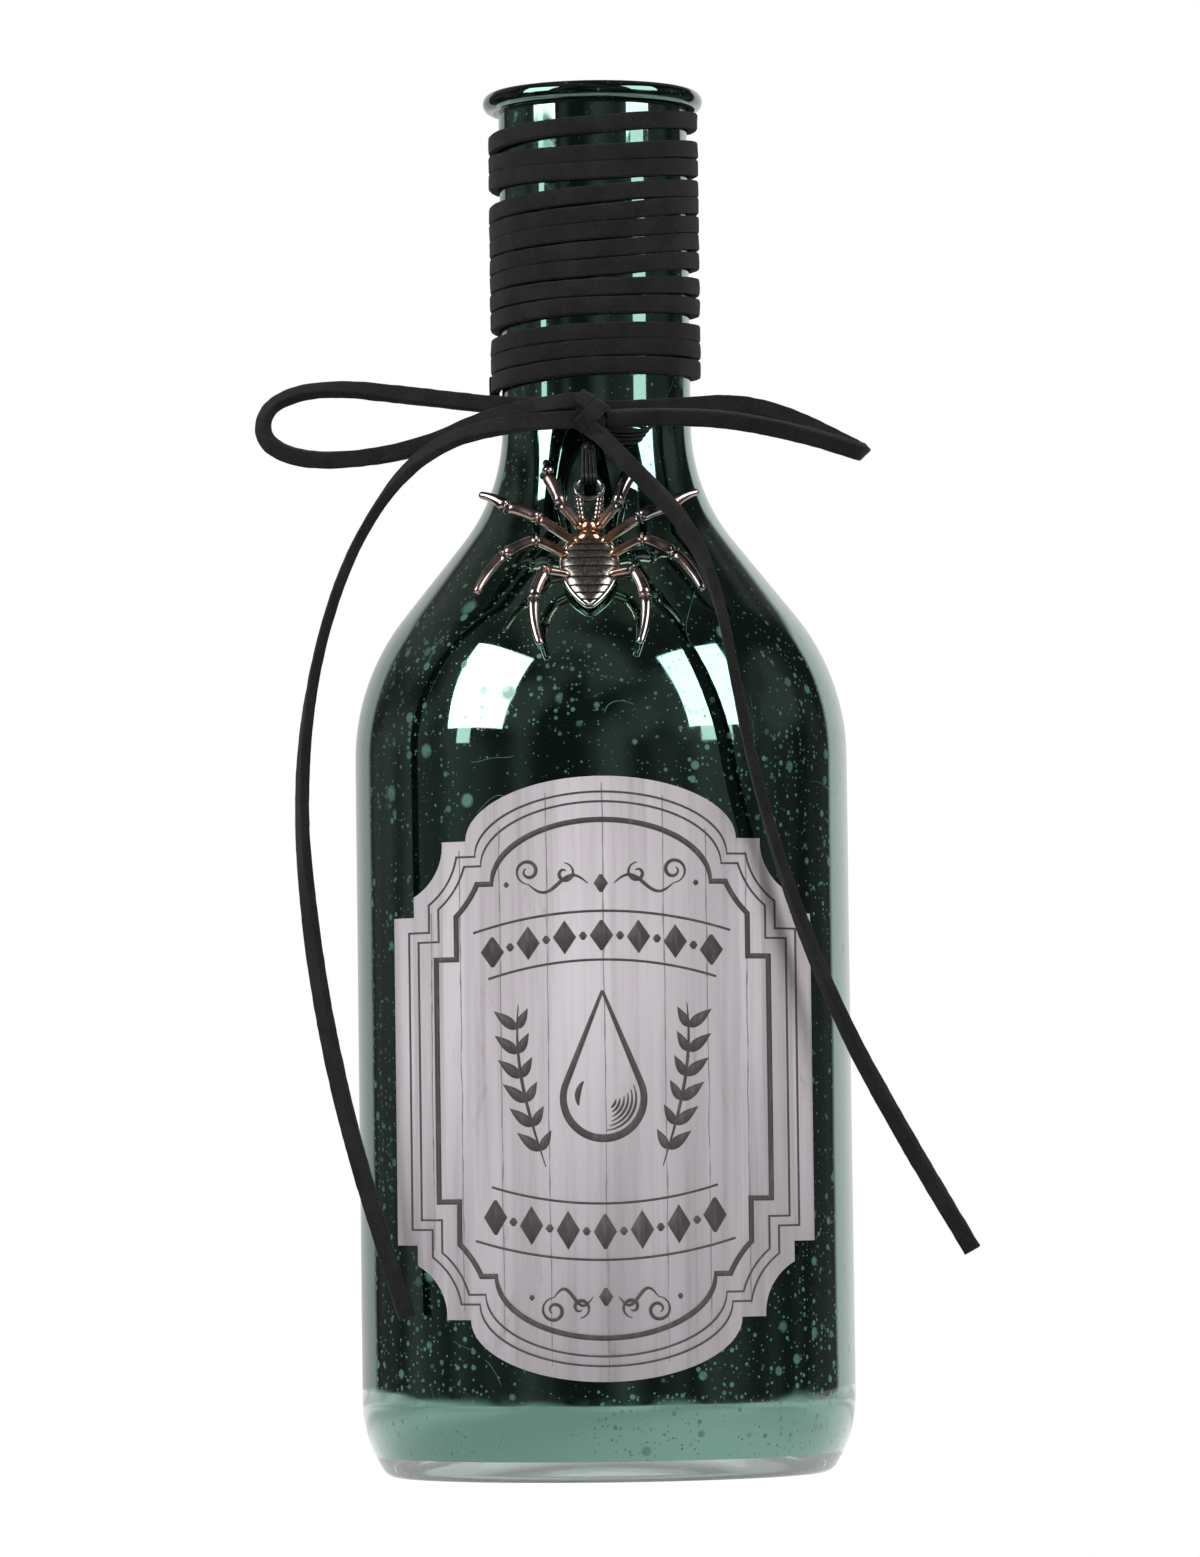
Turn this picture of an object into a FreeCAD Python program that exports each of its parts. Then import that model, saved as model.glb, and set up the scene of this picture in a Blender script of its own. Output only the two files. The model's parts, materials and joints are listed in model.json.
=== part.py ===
"""Decorative poison bottle: mirrored glass, paper label, laced neck with a bow, and a spider charm.

Millimetres. The origin is the middle of the foot, +Z is up and the label faces -Y.
"""
import FreeCAD, Part
import math
import os
import Sketcher
from FreeCAD import Placement, Rotation, Vector

UP = Vector(0, 0, 1)
BACK = Vector(0, 1, 0)
MM3_PER_ML = 1000

# Driving sizes, in millimetres, degrees and counts
SIZES = {
    # Blown glass
    "overall_height": 219.5,
    "body_diameter": 78.0,
    "neck_diameter": 30.0,
    "lip_diameter": 35.0,
    "lip_height": 3.1,
    "mouth_rounding": 1.0,
    "wall_thickness": 3.0,
    "base_thickness": 6.0,
    "punt_depth": 4.0,
    "foot_ring_width": 3.7,
    "foot_rounding": 2.5,
    "heel_radius": 20.0,
    "heel_height": 12.0,
    "inner_heel_radius": 9.0,
    "shoulder_start_height": 113.2,
    "shoulder_radius": 36.0,
    "shoulder_angle": 38.7,
    "neck_root_radius": 30.0,
    # Paper label, measured across its front view
    "label_centre_height": 62.1,
    "label_half_height": 46.5,
    "label_half_width": 32.4,
    "label_arch_half_width": 20.2,
    "label_arch_foot": 37.0,
    "label_ear_half_width": 24.6,
    "label_ear_height": 36.8,
    "label_cove_half_width": 29.2,
    "label_cove_height": 28.5,
    "label_cove_radius": 9.0,
    "label_side_half_height": 25.4,
    "label_paper": 0.2,
    "label_glue": 0.05,
    # Flat suede lace
    "lace_width": 2.8,
    "lace_thickness": 1.8,
    "lace_fit": 0.1,
    "lace_least_pitch": 3.25,
    "winding_below_lip": 0.2,
    "winding_above_bow": 7.0,
    "winding_to_lead": 0.45,
    "lead_above_bow": 1.2,
    "lead_end_angle": 83.0,
    # Knot of the bow
    "bow_above_neck_root": -0.3,
    "bow_off_centre": -0.8,
    "knot_behind": 1.4,
    "knot_length": 5.4,
    "knot_diameter": 6.4,
    "knot_end_diameter": 5.0,
    "knot_lean": 34.0,
    # Thread that carries the charm
    "thread_diameter": 0.7,
    "thread_spacing": 1.1,
    "thread_tie_diameter": 2.4,
    "thread_clearance": 0.3,
    "thread_off_centre": -1.2,
    "thread_drop": 4.6,
    "tie_gap": 0.3,
    # Spider charm, one casting
    "charm_gap": 0.3,
    "charm_hang_out": 4.1,
    "bail_diameter": 4.2,
    "bail_wire": 0.9,
    "bail_height": 0.8,
    "palp_bead_diameter": 1.25,
    "palp_bead_count": 5,
    "palp_root_across": 1.2,
    "palp_root_along": 6.3,
    "palp_tip_across": 1.75,
    "palp_tip_along": 1.9,
    "head_along": 7.8,
    "head_diameter": 3.4,
    "head_straight": 0.6,
    "waist_diameter": 2.4,
    "waist_straight": 0.6,
    "abdomen_top_along": 10.1,
    "abdomen_length": 13.2,
    "abdomen_width": 8.2,
    "abdomen_bands": 8,
    "abdomen_band_radius": 2.0,
    "leg_root_height": 1.2,
    "leg_knee_height": 2.2,
    "leg_ankle_height": 1.9,
    "leg_tip_height": 1.1,
    "leg_root_diameter": 1.2,
    "leg_knee_diameter": 1.6,
    "leg_ankle_diameter": 1.3,
    "leg_tip_diameter": 0.8,
    "leg_rod_share": 0.9,
}

# Each pair of legs: where it leaves the body, then the length and heading of coxa, femur and foot.
# A heading of 0 points straight out and 90 points up towards the bail.
LEG_PAIRS = {
    "front": {"root_across": 1.3, "root_along": 8.3, "coxa_length": 5.2, "coxa_heading": 53.0,
              "femur_length": 6.5, "femur_heading": 70.0, "foot_length": 3.4, "foot_heading": 85.0},
    "second": {"root_across": 1.9, "root_along": 11.3, "coxa_length": 7.3, "coxa_heading": 36.5,
               "femur_length": 5.6, "femur_heading": 27.0, "foot_length": 5.5, "foot_heading": 36.0},
    "third": {"root_across": 3.2, "root_along": 13.6, "coxa_length": 5.6, "coxa_heading": 26.0,
              "femur_length": 5.7, "femur_heading": -29.0, "foot_length": 8.0, "foot_heading": -57.0},
    "rear": {"root_across": 3.0, "root_along": 17.4, "coxa_length": 3.8, "coxa_heading": 2.0,
             "femur_length": 5.4, "femur_heading": -70.0, "foot_length": 8.6, "foot_heading": -97.0},
}
for pair, leg in LEG_PAIRS.items():
    for name, number in leg.items():
        SIZES[f"{pair}_{name}"] = number

# Routes of the bow, from the middle of the knot
LOOP_LEFT = [(-1.8, 1.6, 2.1), (-11.2, 1.6, 2.4), (-26.2, 2.9, 5.5), (-42.2, 2.9, 7.0), (-51.8, 2.1, 3.0),
             (-52.2, 1.1, -4.5), (-43.2, 0.2, -8.1), (-27.2, -0.8, -6.2), (-13.2, -1.2, 1.5),
             (-1.8, -0.6, 2.3)]
LOOP_RIGHT = [(2.2, 1.6, 1.2), (10.8, 3.0, 2.6), (23.3, 6.6, 4.0), (35.8, 8.1, 1.6), (44.1, 6.8, -4.8),
              (43.4, 0.6, -6.2), (31.8, -1.4, -2.1), (16.3, -2.0, 0.7), (2.7, -0.8, -0.4)]
TAIL_LEFT = [(-1.8, -0.8, -1.1), (-12.2, -3.6, -2.0), (-27.2, -4.6, -5.5), (-37.2, -4.6, -19.5),
             (-43.5, -4.4, -38.0), (-46.2, -4.4, -59.0), (-44.5, -4.9, -82.0), (-40.7, -5.6, -104.0),
             (-35.2, -6.8, -124.5), (-30.1, -7.8, -140.5)]
TAIL_RIGHT = [(1.2, -1.6, -2.8), (8.2, -5.6, -10.4), (15.4, -11.0, -18.8), (19.7, -16.4, -30.0),
              (22.1, -17.0, -43.5), (25.0, -15.6, -58.5), (30.4, -10.9, -77.0), (38.0, -6.4, -96.0),
              (47.2, -3.4, -113.0), (53.7, -1.9, -124.2), (57.8, -1.2, -131.2)]

document = FreeCAD.newDocument("poison_bottle")
sheet = document.addObject("Spreadsheet::Sheet", "Sizes")
for row, (alias, number) in enumerate(SIZES.items(), start=1):
    sheet.set(f"A{row}", alias)
    sheet.set(f"B{row}", str(number))
    sheet.setAlias(f"B{row}", alias)
document.recompute()

sub_parts = []


def value(formula):
    """Number that a formula over the size sheet gives."""
    return float(sheet.evalExpression(formula))


def size(alias):
    """Number held by one cell of the size sheet."""
    return value(f"Sizes.{alias}")


def sub_part(thing, label, placement=None):
    """Name a finished sub-part and put it in its place."""
    thing.Label = label
    thing.Placement = placement or Placement()
    sub_parts.append(thing)
    return thing


def plane(body, role):
    """Origin plane of a body."""
    return next(item for item in body.Origin.OriginFeatures if item.Role == role)


def pin(sketch, geometry, point, formula, axis):
    """Hold one point of a sketch at a formula's distance along an axis."""
    number = value(formula)
    if abs(number) < 1e-9:
        line = -2 if axis == "DistanceX" else -1
        sketch.addConstraint(Sketcher.Constraint("PointOnObject", geometry, point, line))
        return
    index = sketch.addConstraint(Sketcher.Constraint(axis, -1, 1, geometry, point, number))
    sketch.setExpression(f"Constraints[{index}]", formula)


def arc_middle(start, end, radius, bulge):
    """Middle of the arc between two points that bulges to the left or right of the way from start to end."""
    chord = end - start
    side = Vector(-chord.y, chord.x, 0).normalize() * (1 if bulge == "left" else -1)
    rise = radius - math.sqrt(max(radius**2 - chord.Length**2 / 4, 0))
    return (start + end) / 2 + side * rise


def closed_outline(sketch, corners):
    """Draw a closed outline. A corner is (across, up), with the radius and bulge of any arc that leaves it."""
    places = [Vector(value(corner[0]), value(corner[1]), 0) for corner in corners]
    ends = []
    for index, corner in enumerate(corners):
        start = places[index]
        end = places[(index + 1) % len(places)]
        if len(corner) == 2:
            geometry = sketch.addGeometry(Part.LineSegment(start, end))
            ends.append((geometry, 1, 2))
            continue
        middle = arc_middle(start, end, value(corner[2]), corner[3])
        # A sketch keeps its arcs anticlockwise, so one that bulges left is drawn from its far end
        if corner[3] == "right":
            geometry = sketch.addGeometry(Part.Arc(start, middle, end))
            ends.append((geometry, 1, 2))
        else:
            geometry = sketch.addGeometry(Part.Arc(end, middle, start))
            ends.append((geometry, 2, 1))
        number = sketch.Geometry[geometry].Radius
        radius = sketch.addConstraint(Sketcher.Constraint("Radius", geometry, number))
        sketch.setExpression(f"Constraints[{radius}]", corner[2])
    for index, corner in enumerate(corners):
        geometry, first, last = ends[index]
        follower, follower_first, _ = ends[(index + 1) % len(ends)]
        sketch.addConstraint(Sketcher.Constraint("Coincident", geometry, last, follower, follower_first))
        pin(sketch, geometry, first, corner[0], "DistanceX")
        pin(sketch, geometry, first, corner[1], "DistanceY")


def body_sketch(body, name, role, corners):
    """Closed outline on an origin plane of a body."""
    sketch = body.newObject("Sketcher::SketchObject", name)
    sketch.AttachmentSupport = [(plane(body, role), "")]
    sketch.MapMode = "FlatFace"
    closed_outline(sketch, corners)
    document.recompute()
    return sketch


def turned(body, kind, name, sketch, angle=360, reverse=False):
    """Revolution or Groove of a sketch about its upright axis."""
    feature = body.newObject(f"PartDesign::{kind}", name)
    feature.Profile = sketch
    feature.ReferenceAxis = (sketch, ["V_Axis"])
    feature.Angle = angle
    feature.Reversed = reverse
    document.recompute()
    return feature


# Heights and radii that several pieces share, as formulas over the size sheet
BODY_RADIUS = "Sizes.body_diameter / 2"
NECK_RADIUS = "Sizes.neck_diameter / 2"
LEAN_IN = "cos(Sizes.shoulder_angle * 1 deg)"
LEAN_UP = "sin(Sizes.shoulder_angle * 1 deg)"
SLOPE_LOW_RADIUS = f"({BODY_RADIUS} - Sizes.shoulder_radius * (1 - {LEAN_IN}))"
SLOPE_LOW_HEIGHT = f"(Sizes.shoulder_start_height + Sizes.shoulder_radius * {LEAN_UP})"
SLOPE_HIGH_RADIUS = f"({NECK_RADIUS} + Sizes.neck_root_radius * (1 - {LEAN_IN}))"
SLOPE_HIGH_HEIGHT = (f"({SLOPE_LOW_HEIGHT} + ({SLOPE_LOW_RADIUS} - {SLOPE_HIGH_RADIUS})"
                     f" * {LEAN_IN} / {LEAN_UP})")
NECK_ROOT_HEIGHT = f"({SLOPE_HIGH_HEIGHT} + Sizes.neck_root_radius * {LEAN_UP})"
LIP_UNDERSIDE = "(Sizes.overall_height - Sizes.lip_height)"


def bottle_glass():
    """Blown bottle: outer form turned in one piece, then hollowed to an even wall."""
    body = document.addObject("PartDesign::Body", "BottleGlass")
    # The foot rounding touches the heel arc and the table
    reach = "(Sizes.heel_radius - Sizes.foot_rounding)"
    fall = "(Sizes.heel_height - Sizes.foot_rounding)"
    run = f"sqrt({reach}^2 - {fall}^2)"
    heel_centre = f"({BODY_RADIUS} - Sizes.heel_radius)"
    foot_edge = f"({heel_centre} + {run})"
    punt_radius = f"({foot_edge} - Sizes.foot_ring_width)"
    punt_arc = f"((({punt_radius})^2 + Sizes.punt_depth^2) / (2 * Sizes.punt_depth))"
    lip_rounding = "Sizes.lip_height / 2"
    lip_centre = f"(Sizes.lip_diameter / 2 - {lip_rounding})"
    outer = body_sketch(body, "OuterForm", "XZ_Plane", [
        ("0", "Sizes.punt_depth", punt_arc, "left"),
        (punt_radius, "0"),
        (foot_edge, "0", "Sizes.foot_rounding", "right"),
        (f"{heel_centre} + Sizes.heel_radius * {run} / {reach}",
         f"Sizes.heel_height - Sizes.heel_radius * {fall} / {reach}", "Sizes.heel_radius", "right"),
        (BODY_RADIUS, "Sizes.heel_height"),
        (BODY_RADIUS, "Sizes.shoulder_start_height", "Sizes.shoulder_radius", "right"),
        (SLOPE_LOW_RADIUS, SLOPE_LOW_HEIGHT),
        (SLOPE_HIGH_RADIUS, SLOPE_HIGH_HEIGHT, "Sizes.neck_root_radius", "left"),
        (NECK_RADIUS, NECK_ROOT_HEIGHT),
        (NECK_RADIUS, LIP_UNDERSIDE),
        (lip_centre, LIP_UNDERSIDE, lip_rounding, "right"),
        ("Sizes.lip_diameter / 2", f"Sizes.overall_height - {lip_rounding}", lip_rounding, "right"),
        (lip_centre, "Sizes.overall_height"),
        ("0", "Sizes.overall_height"),
    ])
    turned(body, "Revolution", "Blown", outer)
    solid_volume = body.Shape.Volume

    wall = "Sizes.wall_thickness"
    inside = f"({BODY_RADIUS} - {wall})"
    bore = f"({NECK_RADIUS} - {wall})"
    floor_edge = f"({inside} - Sizes.inner_heel_radius)"
    floor_arc = f"(({floor_edge}^2 + Sizes.punt_depth^2) / (2 * Sizes.punt_depth))"
    inner = body_sketch(body, "InnerForm", "XZ_Plane", [
        ("0", "Sizes.base_thickness + Sizes.punt_depth", floor_arc, "left"),
        (floor_edge, "Sizes.base_thickness", "Sizes.inner_heel_radius", "right"),
        (inside, "Sizes.base_thickness + Sizes.inner_heel_radius"),
        (inside, "Sizes.shoulder_start_height", f"Sizes.shoulder_radius - {wall}", "right"),
        (f"{SLOPE_LOW_RADIUS} - {wall} * {LEAN_IN}", f"{SLOPE_LOW_HEIGHT} - {wall} * {LEAN_UP}"),
        (f"{SLOPE_HIGH_RADIUS} - {wall} * {LEAN_IN}", f"{SLOPE_HIGH_HEIGHT} - {wall} * {LEAN_UP}",
         f"Sizes.neck_root_radius + {wall}", "left"),
        (bore, NECK_ROOT_HEIGHT),
        (bore, "Sizes.overall_height - Sizes.mouth_rounding", "Sizes.mouth_rounding", "left"),
        (f"{bore} + Sizes.mouth_rounding", "Sizes.overall_height"),
        ("0", "Sizes.overall_height"),
    ])
    turned(body, "Groove", "Hollow", inner)
    held = (solid_volume - body.Shape.Volume) / MM3_PER_ML
    print(f"glass: {held:.0f} ml to the brim")
    # The one blown piece is kept as two nodes, body and neck, that meet level where the slope ends.
    # Convex collision pieces then follow the waist in which the charm hangs.
    upper = bound("Cylinder", "UpperRoom", Placement(), Radius="Sizes.body_diameter",
                  Height="Sizes.overall_height")
    upper.setExpression("Placement.Base.z", SLOPE_HIGH_HEIGHT)
    for kind, name, node in (("Cut", "GlassBody", "bottle_glass"), ("Common", "GlassNeck", "bottle_neck")):
        share = document.addObject(f"Part::{kind}", name)
        share.Base = body
        share.Tool = upper
        document.recompute()
        sub_part(share, node)


def label():
    """Die-cut paper label, arched above and below, with coved corners, lying on the body's curve."""
    middle = "Sizes.label_centre_height"
    quarter = [
        ("Sizes.label_arch_half_width", "Sizes.label_arch_foot"),
        ("Sizes.label_ear_half_width", "Sizes.label_ear_height"),
        ("Sizes.label_cove_half_width", "Sizes.label_cove_height"),
        ("Sizes.label_cove_half_width", "Sizes.label_side_half_height"),
        ("Sizes.label_half_width", "Sizes.label_side_half_height"),
    ]
    corners = [(across, f"{middle} + {along}") for across, along in quarter]
    corners += [(across, f"{middle} - {along}") for across, along in reversed(quarter)]
    corners += [(f"-{across}", f"{middle} - {along}") for across, along in quarter]
    corners += [(f"-{across}", f"{middle} + {along}") for across, along in reversed(quarter)]
    # Coves lie between each ear and its step, arches over the bottom and the top
    rise = "(Sizes.label_half_height - Sizes.label_arch_foot)"
    arch = f"((Sizes.label_arch_half_width^2 + {rise}^2) / (2 * {rise}))"
    for index in (1, 7, 11, 17):
        corners[index] += ("Sizes.label_cove_radius", "right")
    for index in (9, 19):
        corners[index] += (arch, "left")
    outline = document.addObject("Sketcher::SketchObject", "LabelOutline")
    closed_outline(outline, corners)
    outline.Placement = Placement(Vector(), Rotation(Vector(1, 0, 0), 90))

    stamp = document.addObject("Part::Extrusion", "LabelStamp")
    stamp.Base = outline
    stamp.DirMode = "Custom"
    stamp.Dir = -BACK
    stamp.setExpression("LengthFwd", "Sizes.body_diameter")
    stamp.Solid = True
    faces = {"LabelFront": f"{BODY_RADIUS} + Sizes.label_glue + Sizes.label_paper",
             "LabelBack": f"{BODY_RADIUS} + Sizes.label_glue"}
    for name, radius in faces.items():
        cylinder = document.addObject("Part::Cylinder", name)
        cylinder.setExpression("Radius", radius)
        cylinder.setExpression("Height", "Sizes.overall_height")
    sleeve = document.addObject("Part::Cut", "LabelSleeve")
    sleeve.Base = document.LabelFront
    sleeve.Tool = document.LabelBack
    paper = document.addObject("Part::Common", "Label")
    paper.Base = sleeve
    paper.Tool = stamp
    document.recompute()
    return sub_part(paper, "label")


def knot_middle():
    """Middle of the bow's knot, in front of the neck root."""
    behind = size("neck_diameter") / 2 + size("knot_behind") + size("knot_diameter") / 2
    return Vector(size("bow_off_centre"), -behind, value(f"{NECK_ROOT_HEIGHT} + Sizes.bow_above_neck_root"))


def lace_knot():
    """Wrapped turn of lace that holds the bow, a leaning barrel."""
    body = document.addObject("PartDesign::Body", "LaceKnot")
    swell = "((Sizes.knot_diameter - Sizes.knot_end_diameter) / 2)"
    crown = f"(((Sizes.knot_length / 2)^2 + {swell}^2) / (2 * {swell}))"
    barrel = body_sketch(body, "KnotForm", "XZ_Plane", [
        ("0", "-Sizes.knot_length / 2"),
        ("Sizes.knot_end_diameter / 2", "-Sizes.knot_length / 2", crown, "right"),
        ("Sizes.knot_end_diameter / 2", "Sizes.knot_length / 2"),
        ("0", "Sizes.knot_length / 2"),
    ])
    turned(body, "Revolution", "KnotBarrel", barrel)
    leaning = Rotation(BACK, 90 + size("knot_lean"))
    return sub_part(body, "lace_knot", Placement(knot_middle(), leaning))


def bound(kind, name, placement, **formulas):
    """Part primitive whose sizes are bound to the size sheet."""
    thing = document.addObject(f"Part::{kind}", name)
    for prop, formula in formulas.items():
        thing.setExpression(prop, formula)
    thing.Placement = placement
    return thing


def fused(name, pieces):
    """Union of several pieces."""
    union = document.addObject("Part::MultiFuse", name)
    union.Shapes = pieces
    document.recompute()
    return union


def lace_section(start, heading, width_axis):
    """Flat lace, cut square to its heading."""
    across = (width_axis - heading * width_axis.dot(heading)).normalize() * size("lace_width") / 2
    through = heading.cross(across).normalize() * size("lace_thickness") / 2
    signs = ((1, 1), (-1, 1), (-1, -1), (1, -1), (1, 1))
    return Part.makePolygon([start + across * side + through * face for side, face in signs])


def swept_lace(label, wire, section, upright=False):
    """Lace along a path. An upright lace keeps its width level with the neck."""
    shell = Part.BRepOffsetAPI.MakePipeShell(wire)
    if upright:
        shell.setBiNormalMode(UP)
    shell.add(section)
    shell.build()
    shell.makeSolid()
    lace = document.addObject("Part::Feature", label.title().replace("_", ""))
    lace.Shape = shell.shape()
    share = lace.Shape.Volume / (size("lace_width") * size("lace_thickness") * wire.Length)
    print(f"{label}: {wire.Length:.0f} mm long, volume is {share:.3f} of section times length")
    return lace


def circle_arc(start, tangent, end):
    """Arc that leaves start along its tangent and ends at end, and the tangent there."""
    chord = end - start
    inward = (chord - tangent * chord.dot(tangent)).normalize()
    radius = chord.dot(chord) / (2 * chord.dot(inward))
    centre = start + inward * radius
    middle = centre + ((start + end) / 2 - centre).normalize() * radius
    leaving = chord * (2 * chord.dot(tangent) / chord.dot(chord)) - tangent
    return Part.Arc(start, middle, end).toShape(), leaving


def biarc(start, start_tangent, end, end_tangent):
    """Two arcs that join two points and meet smoothly."""
    chord = end - start
    spread = 2 * (1 - start_tangent.dot(end_tangent))
    pull = 2 * chord.dot(start_tangent + end_tangent)
    reach = (-pull + math.sqrt(pull**2 + 4 * spread * chord.dot(chord))) / (2 * spread)
    joint = (start + end + (start_tangent - end_tangent) * reach) / 2
    first, joint_tangent = circle_arc(start, start_tangent, joint)
    second, _ = circle_arc(joint, joint_tangent, end)
    return [first, second]


class NeckHelix:
    """Line of a lace round the neck, from a first angle, falling evenly as it turns."""

    def __init__(self, first_angle, turn, top, fall):
        self.radius = size("neck_diameter") / 2 + size("lace_fit") + size("lace_thickness") / 2
        self.first_angle = math.radians(first_angle)
        self.turn = math.radians(turn)
        self.top = top
        self.fall = fall

    def point(self, share):
        angle = self.first_angle + self.turn * share
        outward = Vector(math.cos(angle), math.sin(angle), 0)
        return outward * self.radius + UP * (self.top - self.fall * share)

    def tangent(self, share):
        angle = self.first_angle + self.turn * share
        along = Vector(-math.sin(angle), math.cos(angle), 0) * self.radius * self.turn
        return (along - UP * self.fall).normalize()

    def wire(self, pieces, straight_start, straight_end):
        """Path of biarcs, with ends that run straight."""
        edges = []
        if straight_start:
            before = self.point(0) - self.tangent(0) * straight_start
            edges.append(Part.LineSegment(before, self.point(0)).toShape())
        for index in range(pieces):
            here = index / pieces
            there = (index + 1) / pieces
            edges += biarc(self.point(here), self.tangent(here), self.point(there), self.tangent(there))
        if straight_end:
            after = self.point(1) + self.tangent(1) * straight_end
            edges.append(Part.LineSegment(self.point(1), after).toShape())
        return Part.Wire(edges)


# The winding starts at the back of the neck under the lip, turns down clockwise and ends on the left
START_ANGLE = 90.0
PART_TURN = 0.75
LEFT_SIDE = 180.0


def winding_heights():
    """Height of the lace's middle line at the winding's top and bottom."""
    top = value(f"{LIP_UNDERSIDE} - Sizes.winding_below_lip - Sizes.lace_width / 2")
    return top, knot_middle().z + size("winding_above_bow")


def least_gap(helix, turns):
    """Least gap of the winding to itself, measured between points on the edges of its lace."""
    steps = 24
    half_width = UP * size("lace_width") / 2
    places = [helix.point(index / (steps * turns)) for index in range(int(steps * turns) + 1)]
    gaps = []
    for index, place in enumerate(places):
        for other in places[index + steps // 2:index + 2 * steps]:
            gaps.append((place - half_width - other - half_width).Length)
    return min(gaps)


def lace_winding():
    """Neck winding, one unbroken lace in as many turns as fit between the lip and the bow."""
    top, bottom = winding_heights()
    turns = math.floor((top - bottom) / size("lace_least_pitch") - PART_TURN) + PART_TURN
    helix = NeckHelix(START_ANGLE, -360 * turns, top, top - bottom)
    wire = helix.wire(round(4 * turns), size("lace_width"), size("lace_width"))
    print(f"winding: {turns} turns, least gap to itself {least_gap(helix, turns):.2f} mm")
    start = helix.point(0) - helix.tangent(0) * size("lace_width")
    section = lace_section(start, helix.tangent(0), UP)
    return sub_part(swept_lace("lace_winding", wire, section, upright=True), "lace_winding")


def lace_lead():
    """Last stretch of the lace: folded back under the winding on the left, then round into the knot."""
    _, bottom = winding_heights()
    start_height = bottom - size("lace_width") - size("winding_to_lead")
    fall = start_height - knot_middle().z - size("lead_above_bow")
    helix = NeckHelix(LEFT_SIDE, size("lead_end_angle"), start_height, fall)
    start = helix.point(0) - helix.tangent(0) * size("lace_width")
    section = lace_section(start, helix.tangent(0), UP)
    strip = swept_lace("lead_strip", helix.wire(1, size("lace_width"), 0), section, upright=True)
    outer_radius = helix.radius + size("lace_thickness") / 2
    outside = Vector(-outer_radius, size("lace_width"), (bottom + start_height) / 2)
    facing_back = Rotation(-UP, BACK, Vector(1, 0, 0), "XYZ")
    fold = bound("Cylinder", "LaceFold", Placement(outside, facing_back),
                 Radius="Sizes.lace_width + Sizes.winding_to_lead / 2", Height="Sizes.lace_thickness")
    fold.Angle = 180
    return sub_part(fused("LaceLead", [strip, fold]), "lace_lead")


# Share of the shorter run that each rounded corner of a route takes up
CORNER_SHARE = 0.45


def rounded_route(label, points):
    """Path of straight runs joined by the largest tangent arcs that the runs allow."""
    edges = []
    radii = []
    reached = points[0]
    for before, corner, after in zip(points, points[1:], points[2:]):
        setback = CORNER_SHARE * min((corner - before).Length, (after - corner).Length)
        arriving = (corner - before).normalize()
        leaving = (after - corner).normalize()
        half_turn = arriving.getAngle(leaving) / 2
        radius = setback / math.tan(half_turn)
        inward = (leaving - arriving).normalize()
        start = corner - arriving * setback
        end = corner + leaving * setback
        middle = corner + inward * radius * (1 / math.cos(half_turn) - 1)
        edges.append(Part.LineSegment(reached, start).toShape())
        edges.append(Part.Arc(start, middle, end).toShape())
        radii.append(radius)
        reached = end
    edges.append(Part.LineSegment(reached, points[-1]).toShape())
    print(f"{label}: radii {' '.join(f'{radius:.1f}' for radius in radii)} mm")
    return Part.Wire(edges)


def lace_strand(label, route):
    """Loop or tail of the bow, with its flat face towards the front as it leaves the knot."""
    middle = knot_middle()
    points = [middle + Vector(*offset) for offset in route]
    heading = (points[1] - points[0]).normalize()
    section = lace_section(points[0], heading, heading.cross(BACK))
    return sub_part(swept_lace(label, rounded_route(label, points), section), label)


class Hanging:
    """Where the thread's tie, the bail's top wire and the charm's back hang below the knot."""

    def __init__(self):
        knot = knot_middle()
        lean = math.radians(size("knot_lean"))
        across = size("thread_off_centre")
        under_knot = knot.z - (across - knot.x) * math.tan(lean) - size("knot_diameter") / 2 / math.cos(lean)
        forward = -(size("neck_diameter") / 2 + size("charm_hang_out"))
        self.tie = Vector(across, forward, under_knot - size("tie_gap") - size("thread_tie_diameter") / 2)
        self.wire = self.tie - UP * size("thread_drop")
        # The charm's flat back touches the round of the shoulder, a gap away
        inward = -forward - (size("body_diameter") / 2 - size("shoulder_radius"))
        rise = self.wire.z - size("shoulder_start_height")
        reach = size("shoulder_radius") + size("charm_gap") + size("bail_height")
        touching = math.atan2(inward, rise) + math.acos(reach / math.hypot(inward, rise))
        self.tilt = 90 - math.degrees(touching)
        self.turn = Rotation(Vector(1, 0, 0), 90 - self.tilt)
        self.outward = self.turn.multVec(UP)
        self.bail = self.wire - self.turn.multVec(BACK) * size("bail_diameter") / 2
        self.back = self.bail - self.outward * size("bail_height")


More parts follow.
